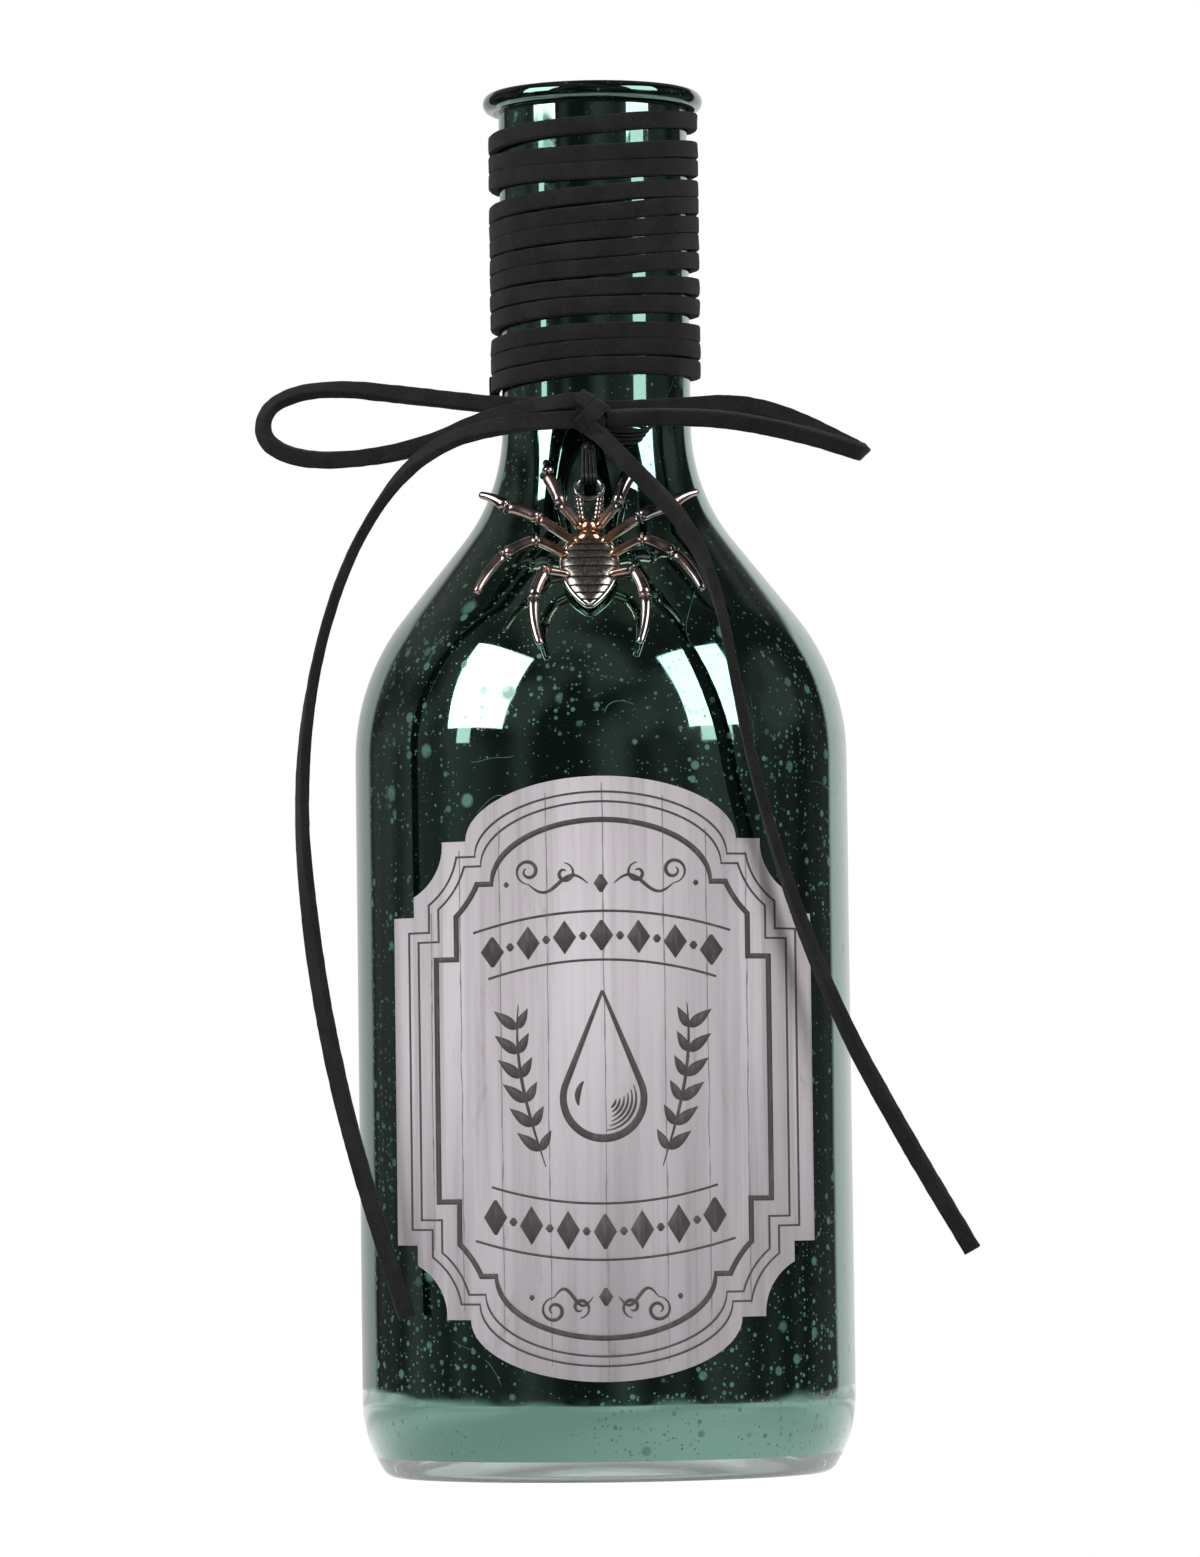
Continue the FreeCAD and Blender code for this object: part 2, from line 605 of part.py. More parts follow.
def hanger_thread(hanging):
    """Two bights of thread through the bail, drawn together in a small tie under the knot."""
    radius = "Sizes.thread_diameter / 2"
    bend = "(Sizes.bail_wire / 2 + Sizes.thread_clearance + Sizes.thread_diameter / 2)"
    pieces = [bound("Sphere", "ThreadTie", Placement(hanging.tie, Rotation()),
                    Radius="Sizes.thread_tie_diameter / 2")]
    downward = Rotation(-BACK, -UP, Vector(1, 0, 0), "XYZ")
    for name, side in (("Left", -1), ("Right", 1)):
        foot = hanging.wire + Vector(side * size("thread_spacing") / 2, 0, 0)
        pieces.append(bound("Torus", f"{name}Bight", Placement(foot, downward), Radius1=bend, Radius2=radius))
        pieces[-1].Angle3 = 180
        for layer, step in (("Front", -1), ("Back", 1)):
            start = foot + BACK * step * value(bend)
            strand = bound("Cylinder", f"{name}{layer}Strand", Placement(start, Rotation()), Radius=radius,
                           Height="Sizes.thread_drop")
            pieces.append(strand)
    return sub_part(fused("HangerThread", pieces), "hanger_thread")


def charm_abdomen():
    """Banded half-round abdomen: a teardrop with its point down, turned through half a circle."""
    body = document.addObject("PartDesign::Body", "CharmAbdomen")
    half = "(Sizes.abdomen_width / 2)"
    taper = f"(Sizes.abdomen_length - {half})"
    flank = f"(({half}^2 + {taper}^2) / (2 * {half}))"
    bands = round(size("abdomen_bands"))
    corners = []
    for index in range(bands + 1):
        along = f"(Sizes.abdomen_length * {index} / {bands})"
        if index in (0, bands):
            across = "0"
        elif value(along) < value(half):
            across = f"sqrt({half}^2 - ({half} - {along})^2)"
        else:
            across = f"(sqrt({flank}^2 - ({along} - {half})^2) - {flank} + {half})"
        corners.append((across, f"-Sizes.abdomen_top_along - {along}"))
    corners[0] += (half, "left")
    for index in range(1, bands):
        corners[index] += ("Sizes.abdomen_band_radius", "left")
    form = body_sketch(body, "AbdomenForm", "XY_Plane", corners)
    turned(body, "Revolution", "AbdomenRound", form, angle=180, reverse=True)
    return body


def half_pill(name, along, diameter, straight):
    """Half a round-ended bead that lies on the charm's back plane."""
    body = document.addObject("PartDesign::Body", name)
    radius = f"{diameter} / 2"
    top = f"{straight} / 2 - {along}"
    bottom = f"-{straight} / 2 - {along}"
    form = body_sketch(body, f"{name}Form", "XY_Plane", [
        ("0", f"{top} + {radius}", radius, "left"),
        (radius, top),
        (radius, bottom, radius, "left"),
        ("0", f"{bottom} - {radius}"),
    ])
    turned(body, "Revolution", f"{name}Round", form, angle=180, reverse=True)
    return body


def charm_palps():
    """Two beaded palps that carry the bail."""
    beads = []
    count = round(size("palp_bead_count"))
    for name, side in (("Left", -1), ("Right", 1)):
        root = Vector(side * size("palp_root_across"), -size("palp_root_along"), size("bail_height"))
        tip = Vector(side * size("palp_tip_across"), -size("palp_tip_along"), size("bail_height"))
        # The poles of a bead's surface lie inside its neighbours
        along_palp = Rotation(UP, Vector(), tip - root, "ZXY")
        for index in range(count):
            place = root + (tip - root) * index / (count - 1)
            beads.append(bound("Sphere", f"{name}PalpBead{index}", Placement(place, along_palp),
                               Radius="Sizes.palp_bead_diameter / 2"))
    return beads


LEG_STATIONS = ["root", "knee", "ankle", "tip"]
LEG_RODS = ["coxa", "femur", "foot"]


def leg_steps(pair):
    """Way from each station of a right leg to the next."""
    steps = []
    for start, end, rod in zip(LEG_STATIONS, LEG_STATIONS[1:], LEG_RODS):
        heading = math.radians(size(f"{pair}_{rod}_heading"))
        reach = size(f"{pair}_{rod}_length")
        climb = size(f"leg_{end}_height") - size(f"leg_{start}_height")
        steps.append(Vector(reach * math.cos(heading), reach * math.sin(heading), climb))
    return steps


def right_leg(pair):
    """One right leg: coxa, femur and foot as tapered rods, with a knuckle at each joint."""
    place = Vector(size(f"{pair}_root_across"), -size(f"{pair}_root_along"), size("leg_root_height"))
    steps = leg_steps(pair)
    pieces = []
    for index, (start, end, rod) in enumerate(zip(LEG_STATIONS, LEG_STATIONS[1:], LEG_RODS)):
        step = steps[index]
        rise = f"(Sizes.leg_{end}_height - Sizes.leg_{start}_height)"
        name = f"{pair.title()}{rod.title()}"
        pieces.append(bound(
            "Cone", name, Placement(place, Rotation(UP, step)),
            Radius1=f"Sizes.leg_{start}_diameter / 2 * Sizes.leg_rod_share",
            Radius2=f"Sizes.leg_{end}_diameter / 2 * Sizes.leg_rod_share",
            Height=f"sqrt(Sizes.{pair}_{rod}_length^2 + {rise}^2)"))
        place = place + step
        # The seam of a knuckle's surface is turned away from both of its rods
        away = Vector(step).normalize()
        if rod != LEG_RODS[-1]:
            away = away - Vector(steps[index + 1]).normalize()
        pieces.append(bound("Sphere", f"{name}Knuckle", Placement(place, Rotation(away, Vector(), UP, "XZY")),
                            Radius=f"Sizes.leg_{end}_diameter / 2"))
    return pieces


def spider_charm(hanging):
    """Cast charm, made flat on its back with the bail at the origin and hung against the shoulder."""
    legs = [piece for pair in LEG_PAIRS for piece in right_leg(pair)]
    right = fused("RightLegs", legs)
    left = document.addObject("Part::Mirroring", "LeftLegs")
    left.Source = right
    left.Normal = Vector(1, 0, 0)
    bail = bound("Torus", "Bail", Placement(UP * size("bail_height"), Rotation()),
                 Radius1="Sizes.bail_diameter / 2", Radius2="Sizes.bail_wire / 2")
    head = half_pill("CharmHead", "Sizes.head_along", "Sizes.head_diameter", "Sizes.head_straight")
    waist = half_pill("CharmWaist", "Sizes.abdomen_top_along", "Sizes.waist_diameter", "Sizes.waist_straight")
    casting = fused("SpiderCharm", [charm_abdomen(), head, waist, bail, right, left] + charm_palps())
    return sub_part(casting, "spider_charm", Placement(hanging.back, hanging.turn))


bottle_glass()
label()
lace_winding()
lace_lead()
lace_knot()
lace_strand("lace_loop_left", LOOP_LEFT)
lace_strand("lace_loop_right", LOOP_RIGHT)
lace_strand("lace_tail_left", TAIL_LEFT)
lace_strand("lace_tail_right", TAIL_RIGHT)
hang = Hanging()
hanger_thread(hang)
spider_charm(hang)
document.recompute()

# Nothing is written unless every object came out whole
for thing in document.Objects:
    if "Invalid" in thing.State or "Error" in thing.State:
        raise RuntimeError(f"{thing.Name} failed: {thing.State}")
for thing in sub_parts:
    if thing.Shape.isNull() or not thing.Shape.isValid():
        raise RuntimeError(f"{thing.Label} has no sound shape")

os.makedirs("parts", exist_ok=True)
for thing in sub_parts:
    thing.Shape.exportStep(f"parts/{thing.Label}.step")
    box = thing.Shape.optimalBoundingBox()
    print(f"{thing.Label}: {len(thing.Shape.Solids)} solid, {thing.Shape.Volume:.0f} mm3,"
          f" {box.XLength:.1f} x {box.YLength:.1f} x {box.ZLength:.1f} mm")
print(f"the thread lifts about {hang.tie}, the charm swings about {hang.bail} along {hang.outward}")
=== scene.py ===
# %% [markdown]
# # Dressing a poison bottle
#
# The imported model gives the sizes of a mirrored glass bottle, its paper label, the suede lace round its
# neck and the spider charm that hangs from the bow. In this lesson each piece gets its real surface.
# The model itself stays where it is: a new piece stands in for a plain solid or adds trim to one.

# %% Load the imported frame
import json
import math

import bmesh
import bpy
from mathutils import Matrix, Vector, noise


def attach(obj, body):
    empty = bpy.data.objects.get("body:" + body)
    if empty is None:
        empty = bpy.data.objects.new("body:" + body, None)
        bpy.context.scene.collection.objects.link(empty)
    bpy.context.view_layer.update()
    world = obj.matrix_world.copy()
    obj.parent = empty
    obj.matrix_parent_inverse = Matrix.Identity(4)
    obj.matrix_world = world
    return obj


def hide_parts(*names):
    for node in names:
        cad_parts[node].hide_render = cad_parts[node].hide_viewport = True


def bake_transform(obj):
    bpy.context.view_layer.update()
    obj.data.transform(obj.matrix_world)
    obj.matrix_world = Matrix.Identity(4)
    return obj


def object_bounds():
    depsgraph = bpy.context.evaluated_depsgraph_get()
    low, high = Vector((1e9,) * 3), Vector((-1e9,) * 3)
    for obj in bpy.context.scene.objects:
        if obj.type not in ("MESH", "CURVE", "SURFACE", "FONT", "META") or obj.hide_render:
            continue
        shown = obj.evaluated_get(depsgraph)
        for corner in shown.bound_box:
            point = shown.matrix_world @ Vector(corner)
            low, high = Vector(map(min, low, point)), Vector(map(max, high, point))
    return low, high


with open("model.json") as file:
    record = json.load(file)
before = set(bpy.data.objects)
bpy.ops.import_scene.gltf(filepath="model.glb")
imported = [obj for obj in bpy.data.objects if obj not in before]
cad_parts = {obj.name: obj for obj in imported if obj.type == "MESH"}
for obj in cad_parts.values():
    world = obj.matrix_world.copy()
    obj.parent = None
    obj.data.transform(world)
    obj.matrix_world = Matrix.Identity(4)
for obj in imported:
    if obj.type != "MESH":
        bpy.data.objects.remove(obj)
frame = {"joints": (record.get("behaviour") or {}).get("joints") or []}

cad_low, cad_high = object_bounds()
scene = bpy.context.scene
scene.view_settings.view_transform = "Standard"
MM = 0.001
UP = Vector((0, 0, 1))
BACK = Vector((0, 1, 0))
RIGHT = Vector((1, 0, 0))
joints = {joint["name"]: joint for joint in frame["joints"]}
print("box in mm:", [round(length / MM, 1) for length in cad_high - cad_low])

# %% [markdown]
# ## The camera
#
# The picture was taken with a long lens from a little over a metre, nearly level with the label. A camera
# can be aimed with a Track To constraint, but a fitted view also rolls a little about its own axis, so the
# matrix is built from three directions: right, up and back.

# %% Camera
CAMERA_PLACE = Vector((8.1, -1218.3, 50.0)) * MM
CAMERA_PITCH = 0.0493
CAMERA_YAW = -0.0068
CAMERA_ROLL = 0.0130
FOCAL_PIXELS = 7676.6
PHOTO_HEIGHT_PIXELS = 1557
FILM_HEIGHT_MM = 36.0


def aimed_camera():
    """Camera that looks along its yaw and pitch, rolled about its own axis."""
    data = bpy.data.cameras.new("camera")
    data.sensor_fit = "VERTICAL"
    data.sensor_height = FILM_HEIGHT_MM
    data.lens = FOCAL_PIXELS / PHOTO_HEIGHT_PIXELS * FILM_HEIGHT_MM
    level = Vector((math.cos(CAMERA_YAW), -math.sin(CAMERA_YAW), 0))
    forward = UP.cross(level) * math.cos(CAMERA_PITCH) + UP * math.sin(CAMERA_PITCH)
    upward = level.cross(forward)
    across = level * math.cos(CAMERA_ROLL) - upward * math.sin(CAMERA_ROLL)
    above = level * math.sin(CAMERA_ROLL) + upward * math.cos(CAMERA_ROLL)
    camera = bpy.data.objects.new("camera", data)
    turn = Matrix((across, above, -forward)).transposed().to_4x4()
    camera.matrix_world = Matrix.Translation(CAMERA_PLACE) @ turn
    scene.collection.objects.link(camera)
    return camera


scene.camera = aimed_camera()
print("lens:", round(scene.camera.data.lens, 1), "mm")

# %% [markdown]
# ## Building meshes from rings
#
# Almost everything here is long and has a section: a lace, a thread, a leg, the wall of a bottle. Curves
# with a bevel could do some of it, but a lace has to lie flat on what it goes round. So each piece is a run
# of rings, and one helper joins the rings with faces. A few smaller helpers give the steps along a way, the
# steps round a circle and the directions in between.

# %% Steps and directions


def shares(steps):
    """Equal shares of a way, from nought to one."""
    return [step / steps for step in range(steps + 1)]


def around(count):
    """Angles at equal steps round a circle."""
    return [math.tau * step / count for step in range(count)]


def about(centre, reach, angle):
    """Flat point at a reach and an angle about a centre."""
    return centre[0] + reach * math.cos(angle), centre[1] + reach * math.sin(angle)


def level_spoke(angle):
    """Level direction at an angle round the bottle's axis."""
    return Vector((math.cos(angle), math.sin(angle), 0))


def square_to(heading, axis):
    """The axis, turned until it is at right angles to a heading."""
    return (axis - heading * axis.dot(heading)).normalized()


def headings(path):
    """Direction of a path at each of its points."""
    found = []
    for index in range(len(path)):
        before = path[max(index - 1, 0)]
        after = path[min(index + 1, len(path) - 1)]
        found.append((after - before).normalized())
    return found


def evenly(line, step):
    """The same line with points no further apart than a step."""
    dense = [line[0]]
    for start, end in zip(line, line[1:]):
        cuts = max(1, math.ceil((end - start).length / step))
        dense += [start.lerp(end, share) for share in shares(cuts)[1:]]
    return dense


print("steps and directions ready")

# %% Mesh helpers
SHARP_EDGE = math.radians(50)


def skin(rings, closed=False):
    """Points and faces over rings that have equally many points."""
    count = len(rings[0])
    points = [point for ring in rings for point in ring]
    faces = []
    for row in range(len(rings) if closed else len(rings) - 1):
        here = row * count
        there = (row + 1) % len(rings) * count
        for index in range(count):
            after = (index + 1) % count
            faces.append((here + index, here + after, there + after, there + index))
    if not closed:
        faces.append(tuple(reversed(range(count))))
        faces.append(tuple(range(len(points) - count, len(points))))
    return points, faces


def round_tube(path, radii, sides=10):
    """Rings of a round tube along a path, with one radius or a radius for each point."""
    rings = []
    across = None
    for index, (place, heading) in enumerate(zip(path, headings(path))):
        across = square_to(heading, across or heading.orthogonal())
        beside = heading.cross(across)
        reach = radii[index] if isinstance(radii, list) else radii
        spokes = [across * math.cos(angle) + beside * math.sin(angle) for angle in around(sides)]
        rings.append([place + spoke * reach for spoke in spokes])
    return rings


def piece(name, parts, material):
    """Object made of several parts, each a list of points and a list of faces."""
    points = []
    faces = []
    for part_points, part_faces in parts:
        base = len(points)
        points += part_points
        faces += [tuple(base + index for index in face) for face in part_faces]
    mesh = bpy.data.meshes.new(name)
    mesh.from_pydata(points, [], faces)
    work = bmesh.new()
    work.from_mesh(mesh)
    bmesh.ops.recalc_face_normals(work, faces=work.faces)
    work.to_mesh(mesh)
    work.free()
    mesh.shade_smooth()
    mesh.set_sharp_from_angle(angle=SHARP_EDGE)
    mesh.materials.append(material)
    thing = bpy.data.objects.new(name, mesh)
    scene.collection.objects.link(thing)
    print(name, len(points), "points")
    return thing


def dress(thing, slot, body, *nodes):
    """Hide the solids that a piece stands for and attach it to the body that it rides on. The slot is not
    used.
    """
    if nodes:
        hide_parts(*nodes)
    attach(thing, body)


print("mesh helpers ready")

# %% [markdown]
# ## Finishes from nodes
#
# Every finish is a Principled shader whose colour, roughness or bump comes from textures in the piece's own
# coordinates. The nodes could be placed by hand in the editor. Here short methods add them, so that a finish
# reads as a few lines. Values that are the same all over are typed straight into the shader's sockets.

# %% Node helpers


class Wiring:
    """Short ways to add nodes to a tree."""

    def __init__(self, tree, coordinates):
        self.nodes = tree.nodes
        self.links = tree.links
        self.place = self.nodes.new("ShaderNodeTexCoord").outputs[coordinates]

    def put(self, socket, source):
        """Fill a socket with a number, a colour or another node's output."""
        if isinstance(source, bpy.types.NodeSocket):
            self.links.new(source, socket)
        else:
            socket.default_value = source

    def add(self, kind, *sources):
        """New node of a kind, with its first sockets filled."""
        node = self.nodes.new(f"ShaderNode{kind}")
        for socket, source in zip(node.inputs, sources):
            self.put(socket, source)
        return node

    def math(self, operation, *sources, clamp=False):
        node = self.add("Math", *sources)
        node.operation = operation
        node.use_clamp = clamp
        return node.outputs[0]

    def axes(self):
        """X, Y and Z of the coordinates."""
        return self.add("SeparateXYZ", self.place).outputs

    def distance(self, point):
        """Distance of the coordinates from a point."""
        node = self.add("VectorMath", self.place, point)
        node.operation = "DISTANCE"
        return node.outputs["Value"]

    def stretched(self, x, y, z):
        """The coordinates, scaled along each axis."""
        node = self.add("Mapping", self.place)
        node.inputs["Scale"].default_value = (x, y, z)
        return node.outputs[0]

    def noise(self, scale, detail=3.0, roughness=0.55, place=None, distortion=0.0):
        node = self.add("TexNoise", place or self.place)
        settings = {"Scale": scale, "Detail": detail, "Roughness": roughness, "Distortion": distortion}
        for name, number in settings.items():
            node.inputs[name].default_value = number
        return node.outputs["Fac"]

    def span(self, source, low, high, new_low=0.0, new_high=1.0):
        """Carry a range of numbers over to another, softly at both ends."""
        node = self.add("MapRange", source, low, high, new_low, new_high)
        node.interpolation_type = "SMOOTHSTEP"
        return node.outputs[0]

    def blend(self, share, first, second):
        """Colour between two colours."""
        node = self.nodes.new("ShaderNodeMix")
        node.data_type = "RGBA"
        for name, source in (("Factor", share), ("A", first), ("B", second)):
            self.put(node.inputs[name], (*source, 1) if isinstance(source, tuple) else source)
        return node.outputs["Result"]

    def ray(self, *kinds):
        """One where the ray is of any of these kinds, otherwise nought."""
        node = self.nodes.new("ShaderNodeLightPath")
        share = node.outputs[f"Is {kinds[0]} Ray"]
        for kind in kinds[1:]:
            share = self.math("MAXIMUM", share, node.outputs[f"Is {kind} Ray"])
        return share


class Finish(Wiring):
    """Material with a Principled shader that nodes can feed."""

    def __init__(self, name, **sockets):
        self.material = bpy.data.materials.new(name)
        self.material.use_nodes = True
        super().__init__(self.material.node_tree, "Object")
        self.shader = self.nodes["Principled BSDF"]
        for socket, number in sockets.items():
            self.shader.inputs[socket.replace("_", " ")].default_value = number

    def feed(self, socket, source):
        """Send a node's output into the shader."""
        self.put(self.shader.inputs[socket], source)

    def bump(self, height, distance, strength):
        node = self.nodes.new("ShaderNodeBump")
        node.inputs["Strength"].default_value = strength
        node.inputs["Distance"].default_value = distance
        self.put(node.inputs["Height"], height)
        self.feed("Normal", node.outputs[0])


def mottled_metal(name, grain, detail, dark, pale, roughness):
    """Metal whose colour and roughness wander together. The roughness is a pair, for dark and for pale."""
    finish = Finish(name, Metallic=1.0)
    spots = finish.noise(grain, detail)
    finish.feed("Base Color", finish.blend(spots, dark, pale))
    finish.feed("Roughness", finish.span(spots, 0.3, 0.7, *roughness))
    return finish.material


print("node helpers ready")

# %% [markdown]
# ## Suede lace
#
# The lace is a strip of black suede about 2.8 mm wide: matt, faintly fuzzy, a little paler in patches. Hair
# particles could make the fuzz, but at this size sheen gives the same soft rim, and fine noise breaks up
# the black.

# %% Suede finish
SUEDE_DARK = (0.0066, 0.0068, 0.0064)
SUEDE_PALE = (0.0220, 0.0220, 0.0205)
FIBRE_GRAIN = 2600
FIBRE_RELIEF = 0.12 * MM
PATCH_GRAIN = 190


def suede():
    finish = Finish("suede_lace", Roughness=0.92, Sheen_Weight=0.09, Sheen_Roughness=0.45,
                    Specular_IOR_Level=0.25)
    fibres = finish.noise(FIBRE_GRAIN, 5.0, 0.7)
    patches = finish.noise(PATCH_GRAIN)
    paler = finish.math("ADD", finish.span(fibres, 0.35, 0.75, 0.0, 0.55),
                        finish.span(patches, 0.35, 0.7, 0.0, 0.4))
    finish.feed("Base Color", finish.blend(paler, SUEDE_DARK, SUEDE_PALE))
    finish.bump(fibres, FIBRE_RELIEF, 0.8)
    return finish.material


SUEDE = suede()
print("finish:", SUEDE.name)

# %% [markdown]
# ## Loops and tails of the bow
#
# The bow's loops and tails hang as they were tied, so their routes are drawn from the photograph.
# A NURBS spline of order 3 smooths each route. A beveled curve would make round cord, so the spline is only
# read for its points, and a flat strip with rounded edges follows them. A strip can twist as it goes: its
# width axis starts level with the front and turns by a few angles spread along the way.

# %% Lace strips
LACE_WIDTH = 2.65 * MM
LACE_THICKNESS = 1.6 * MM
LACE_SIDES = 24
LACE_SQUARENESS = 0.28
FUZZ = 0.08 * MM
FUZZ_GRAIN = 700


def squared(wave):
    """A sine or cosine pushed outwards, which turns a circle into a rounded box."""
    return math.copysign(abs(wave) ** LACE_SQUARENESS, wave)


def lace_ring(place, heading, width_axis, width, thickness):
    """Rounded flat section of a lace, roughened a little."""
    across = square_to(heading, width_axis)
    through = heading.cross(across)
    ring = []
    for angle in around(LACE_SIDES):
        flat = squared(math.cos(angle)) * width / 2
        deep = squared(math.sin(angle)) * thickness / 2
        point = place + across * flat + through * deep
        outward = (point - place).normalized()
        ring.append(point + outward * FUZZ * noise.noise(point * FUZZ_GRAIN))
    return ring


def lace(path, width_axes, width=LACE_WIDTH, thickness=LACE_THICKNESS):
    """Rings of lace along a path."""
    return [lace_ring(place, heading, axis, width, thickness)
            for place, heading, axis in zip(path, headings(path), width_axes)]


def twisted_axes(path, twists):
    """Width axes carried along from one that faces the front, turned by angles spread along the path."""
    axes = []
    level = headings(path)[0].cross(BACK)
    for way, heading in zip(shares(len(path) - 1), headings(path)):
        level = square_to(heading, level)
        stop = min(int(way * (len(twists) - 1)), len(twists) - 2)
        part = way * (len(twists) - 1) - stop
        ease = part * part * (3 - 2 * part)
        turn = math.radians(twists[stop] + (twists[stop + 1] - twists[stop]) * ease)
        axes.append(Matrix.Rotation(turn, 3, heading) @ level)
    return axes


def route_length(path):
    return sum((after - before).length for before, after in zip(path, path[1:]))


print("lace section", round(LACE_WIDTH / MM, 2), "by", round(LACE_THICKNESS / MM, 2), "mm")

# %% Bow
KNOT = Vector((-0.8, -19.6, 166.03)) * MM
SPLINE_ORDER = 3
SPLINE_STEPS = 20
# Control points of each route, in millimetres from the knot
LOOP_LEFT = [(-1.8, 1.6, 2.1), (-11.2, 1.6, 1.6), (-26.2, 2.9, 3.6), (-42.2, 2.9, 5.6), (-51.2, 2.1, 2.6),
             (-51.6, 1.1, -3.8), (-43.2, 0.2, -6.9), (-27.2, -0.8, -5.2), (-13.2, -1.2, 1.2),
             (-1.8, -0.6, 2.3)]
LOOP_RIGHT = [(2.2, 1.6, 1.2), (10.8, 3.0, 1.4), (23.3, 6.6, 2.7), (33.2, 8.1, -0.4), (42.2, 6.8, -5.4),
              (42.9, 0.6, -6.4), (31.8, -1.4, -2.9), (16.3, -2.0, -0.1), (2.7, -0.8, -0.5)]
TAIL_LEFT = [(-1.8, -0.8, -0.6), (-12.2, -3.6, -0.9), (-26.6, -4.6, -5.2), (-37.2, -4.6, -19.5),
             (-43.5, -4.4, -38.0), (-46.2, -4.4, -59.0), (-44.5, -4.9, -82.0), (-40.7, -5.6, -104.0),
             (-35.2, -6.8, -124.5), (-30.1, -7.8, -140.5)]
TAIL_RIGHT = [(1.2, -1.6, -2.8), (8.2, -5.6, -10.4), (15.4, -11.0, -18.8), (19.7, -16.4, -30.0),
              (22.1, -17.0, -43.5), (25.0, -15.6, -58.5), (30.4, -10.9, -77.0), (38.0, -6.4, -96.0),
              (47.2, -3.4, -113.0), (53.7, -1.9, -124.2), (57.8, -1.2, -131.2)]
# Route, twist angles along it, and what its far end does
STRANDS = {
    "lace_loop_left": (LOOP_LEFT, (0, 15, 50, 65, 40, 10, 0), "object"),
    "lace_loop_right": (LOOP_RIGHT, (0, 0, -8, -12, -8, 0, 0), "object"),
    "lace_tail_left": (TAIL_LEFT, (0, 45, 85, 85, 70, 45, 20, 0), "bare"),
    "lace_tail_right": (TAIL_RIGHT, (0, 50, 78, 72, 50, 20, 0), "bare"),
}


def smooth_route(name, offsets):
    """Points along a NURBS spline whose control points are offsets from the knot."""
    curve = bpy.data.curves.new(name, "CURVE")
    curve.dimensions = "3D"
    spline = curve.splines.new("NURBS")
    spline.points.add(len(offsets) - 1)
    for point, offset in zip(spline.points, offsets):
        point.co = (*(KNOT + Vector(offset) * MM), 1)
    spline.order_u = SPLINE_ORDER
    spline.use_endpoint_u = True
    spline.resolution_u = SPLINE_STEPS
    thing = bpy.data.objects.new(name, curve)
    scene.collection.objects.link(thing)
    mesh = bpy.data.meshes.new_from_object(thing)
    path = [vertex.co.copy() for vertex in mesh.vertices]
    bpy.data.objects.remove(thing)
    bpy.data.meshes.remove(mesh)
    return path


def bow_strand(name, offsets, twists, far_end):
    """One loop or tail, whose length is printed."""
    path = smooth_route(name, offsets)
    strand = piece(name, [skin(lace(path, twisted_axes(path, twists)))], SUEDE)
    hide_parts(name)
    # The right tail lies over the charm. It is not attached to a body.
    if name == "lace_tail_right":
        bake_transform(strand)
    else:
        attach(strand, "bottle")
    print(name, "is", round(route_length(path) / MM), "mm long")


for strand_name, strand_shape in STRANDS.items():
    bow_strand(strand_name, *strand_shape)

# %% [markdown]
# ## The neck winding
#
# Twelve and three quarter turns of lace go round the neck, pulled tight by hand, so the turns don't climb
# evenly. A Screw modifier would space them alike. Here a loop walks round the neck and takes each turn's
# height from a short list, read where the turns pass the right side, the front and the left side, with a
# little wander of its own.

# %% Winding
NECK_RADIUS = 15.0 * MM
WINDING_CLEARANCE = 0.12 * MM
WINDING_RADIUS = NECK_RADIUS + LACE_THICKNESS / 2 + WINDING_CLEARANCE
WINDING_TURNS = 12.75
WINDING_START = math.radians(90)
STEPS_PER_TURN = 56
WANDER = 0.12 * MM
SLACK = 0.1 * MM
LEAN = 0.10
# Heights in millimetres at which each turn passes the right side, the front and the left side of the neck
PASSES = [(214.8, 212.6, 211.2), (210.2, 207.9, 208.1), (207.3, 205.2, 205.4), (204.0, 201.5, 200.0),
          (201.2, 198.4, 197.3), (198.2, 195.6, 194.6), (195.5, 192.6, 191.7), (192.4, 189.9, 188.9),
          (188.2, 186.7, 186.0), (184.9, 183.9, 182.9), (180.8, 179.8, 178.7), (178.0, 177.1, 176.0),
          (175.0, 174.4, 173.1)]
START_HEIGHT = 214.6
PASSES_PER_TURN = 4
# The lace starts at the back, and each turn passes the back between its left side and the next right side
HEIGHTS = [START_HEIGHT]
for turn, (right_pass, front_pass, left_pass) in enumerate(PASSES):
    next_right = PASSES[min(turn + 1, len(PASSES) - 1)][0]
    HEIGHTS += [right_pass, front_pass, left_pass, (left_pass + next_right) / 2]


def turn_height(turns):
    """Height of the lace after some turns, on a smooth line through the listed heights."""
    place = PASSES_PER_TURN * turns
    index = min(math.floor(place), len(HEIGHTS) - 2)
    share = place - index
    near = [HEIGHTS[min(max(index + step, 0), len(HEIGHTS) - 1)] for step in (-1, 0, 1, 2)]
    pull_in = (near[2] - near[0]) / 2
    pull_out = (near[3] - near[1]) / 2
    bend = near[1] - near[2]
    square = -3 * bend - 2 * pull_in - pull_out
    cube = 2 * bend + pull_in + pull_out
    return (near[1] + share * pull_in + share**2 * square + share**3 * cube) * MM


def unsteady(outward, turns, grain, pace=1.0, shift=0.0):
    """Slow noise along the winding."""
    return noise.noise(outward * grain + UP * (turns * pace + shift))


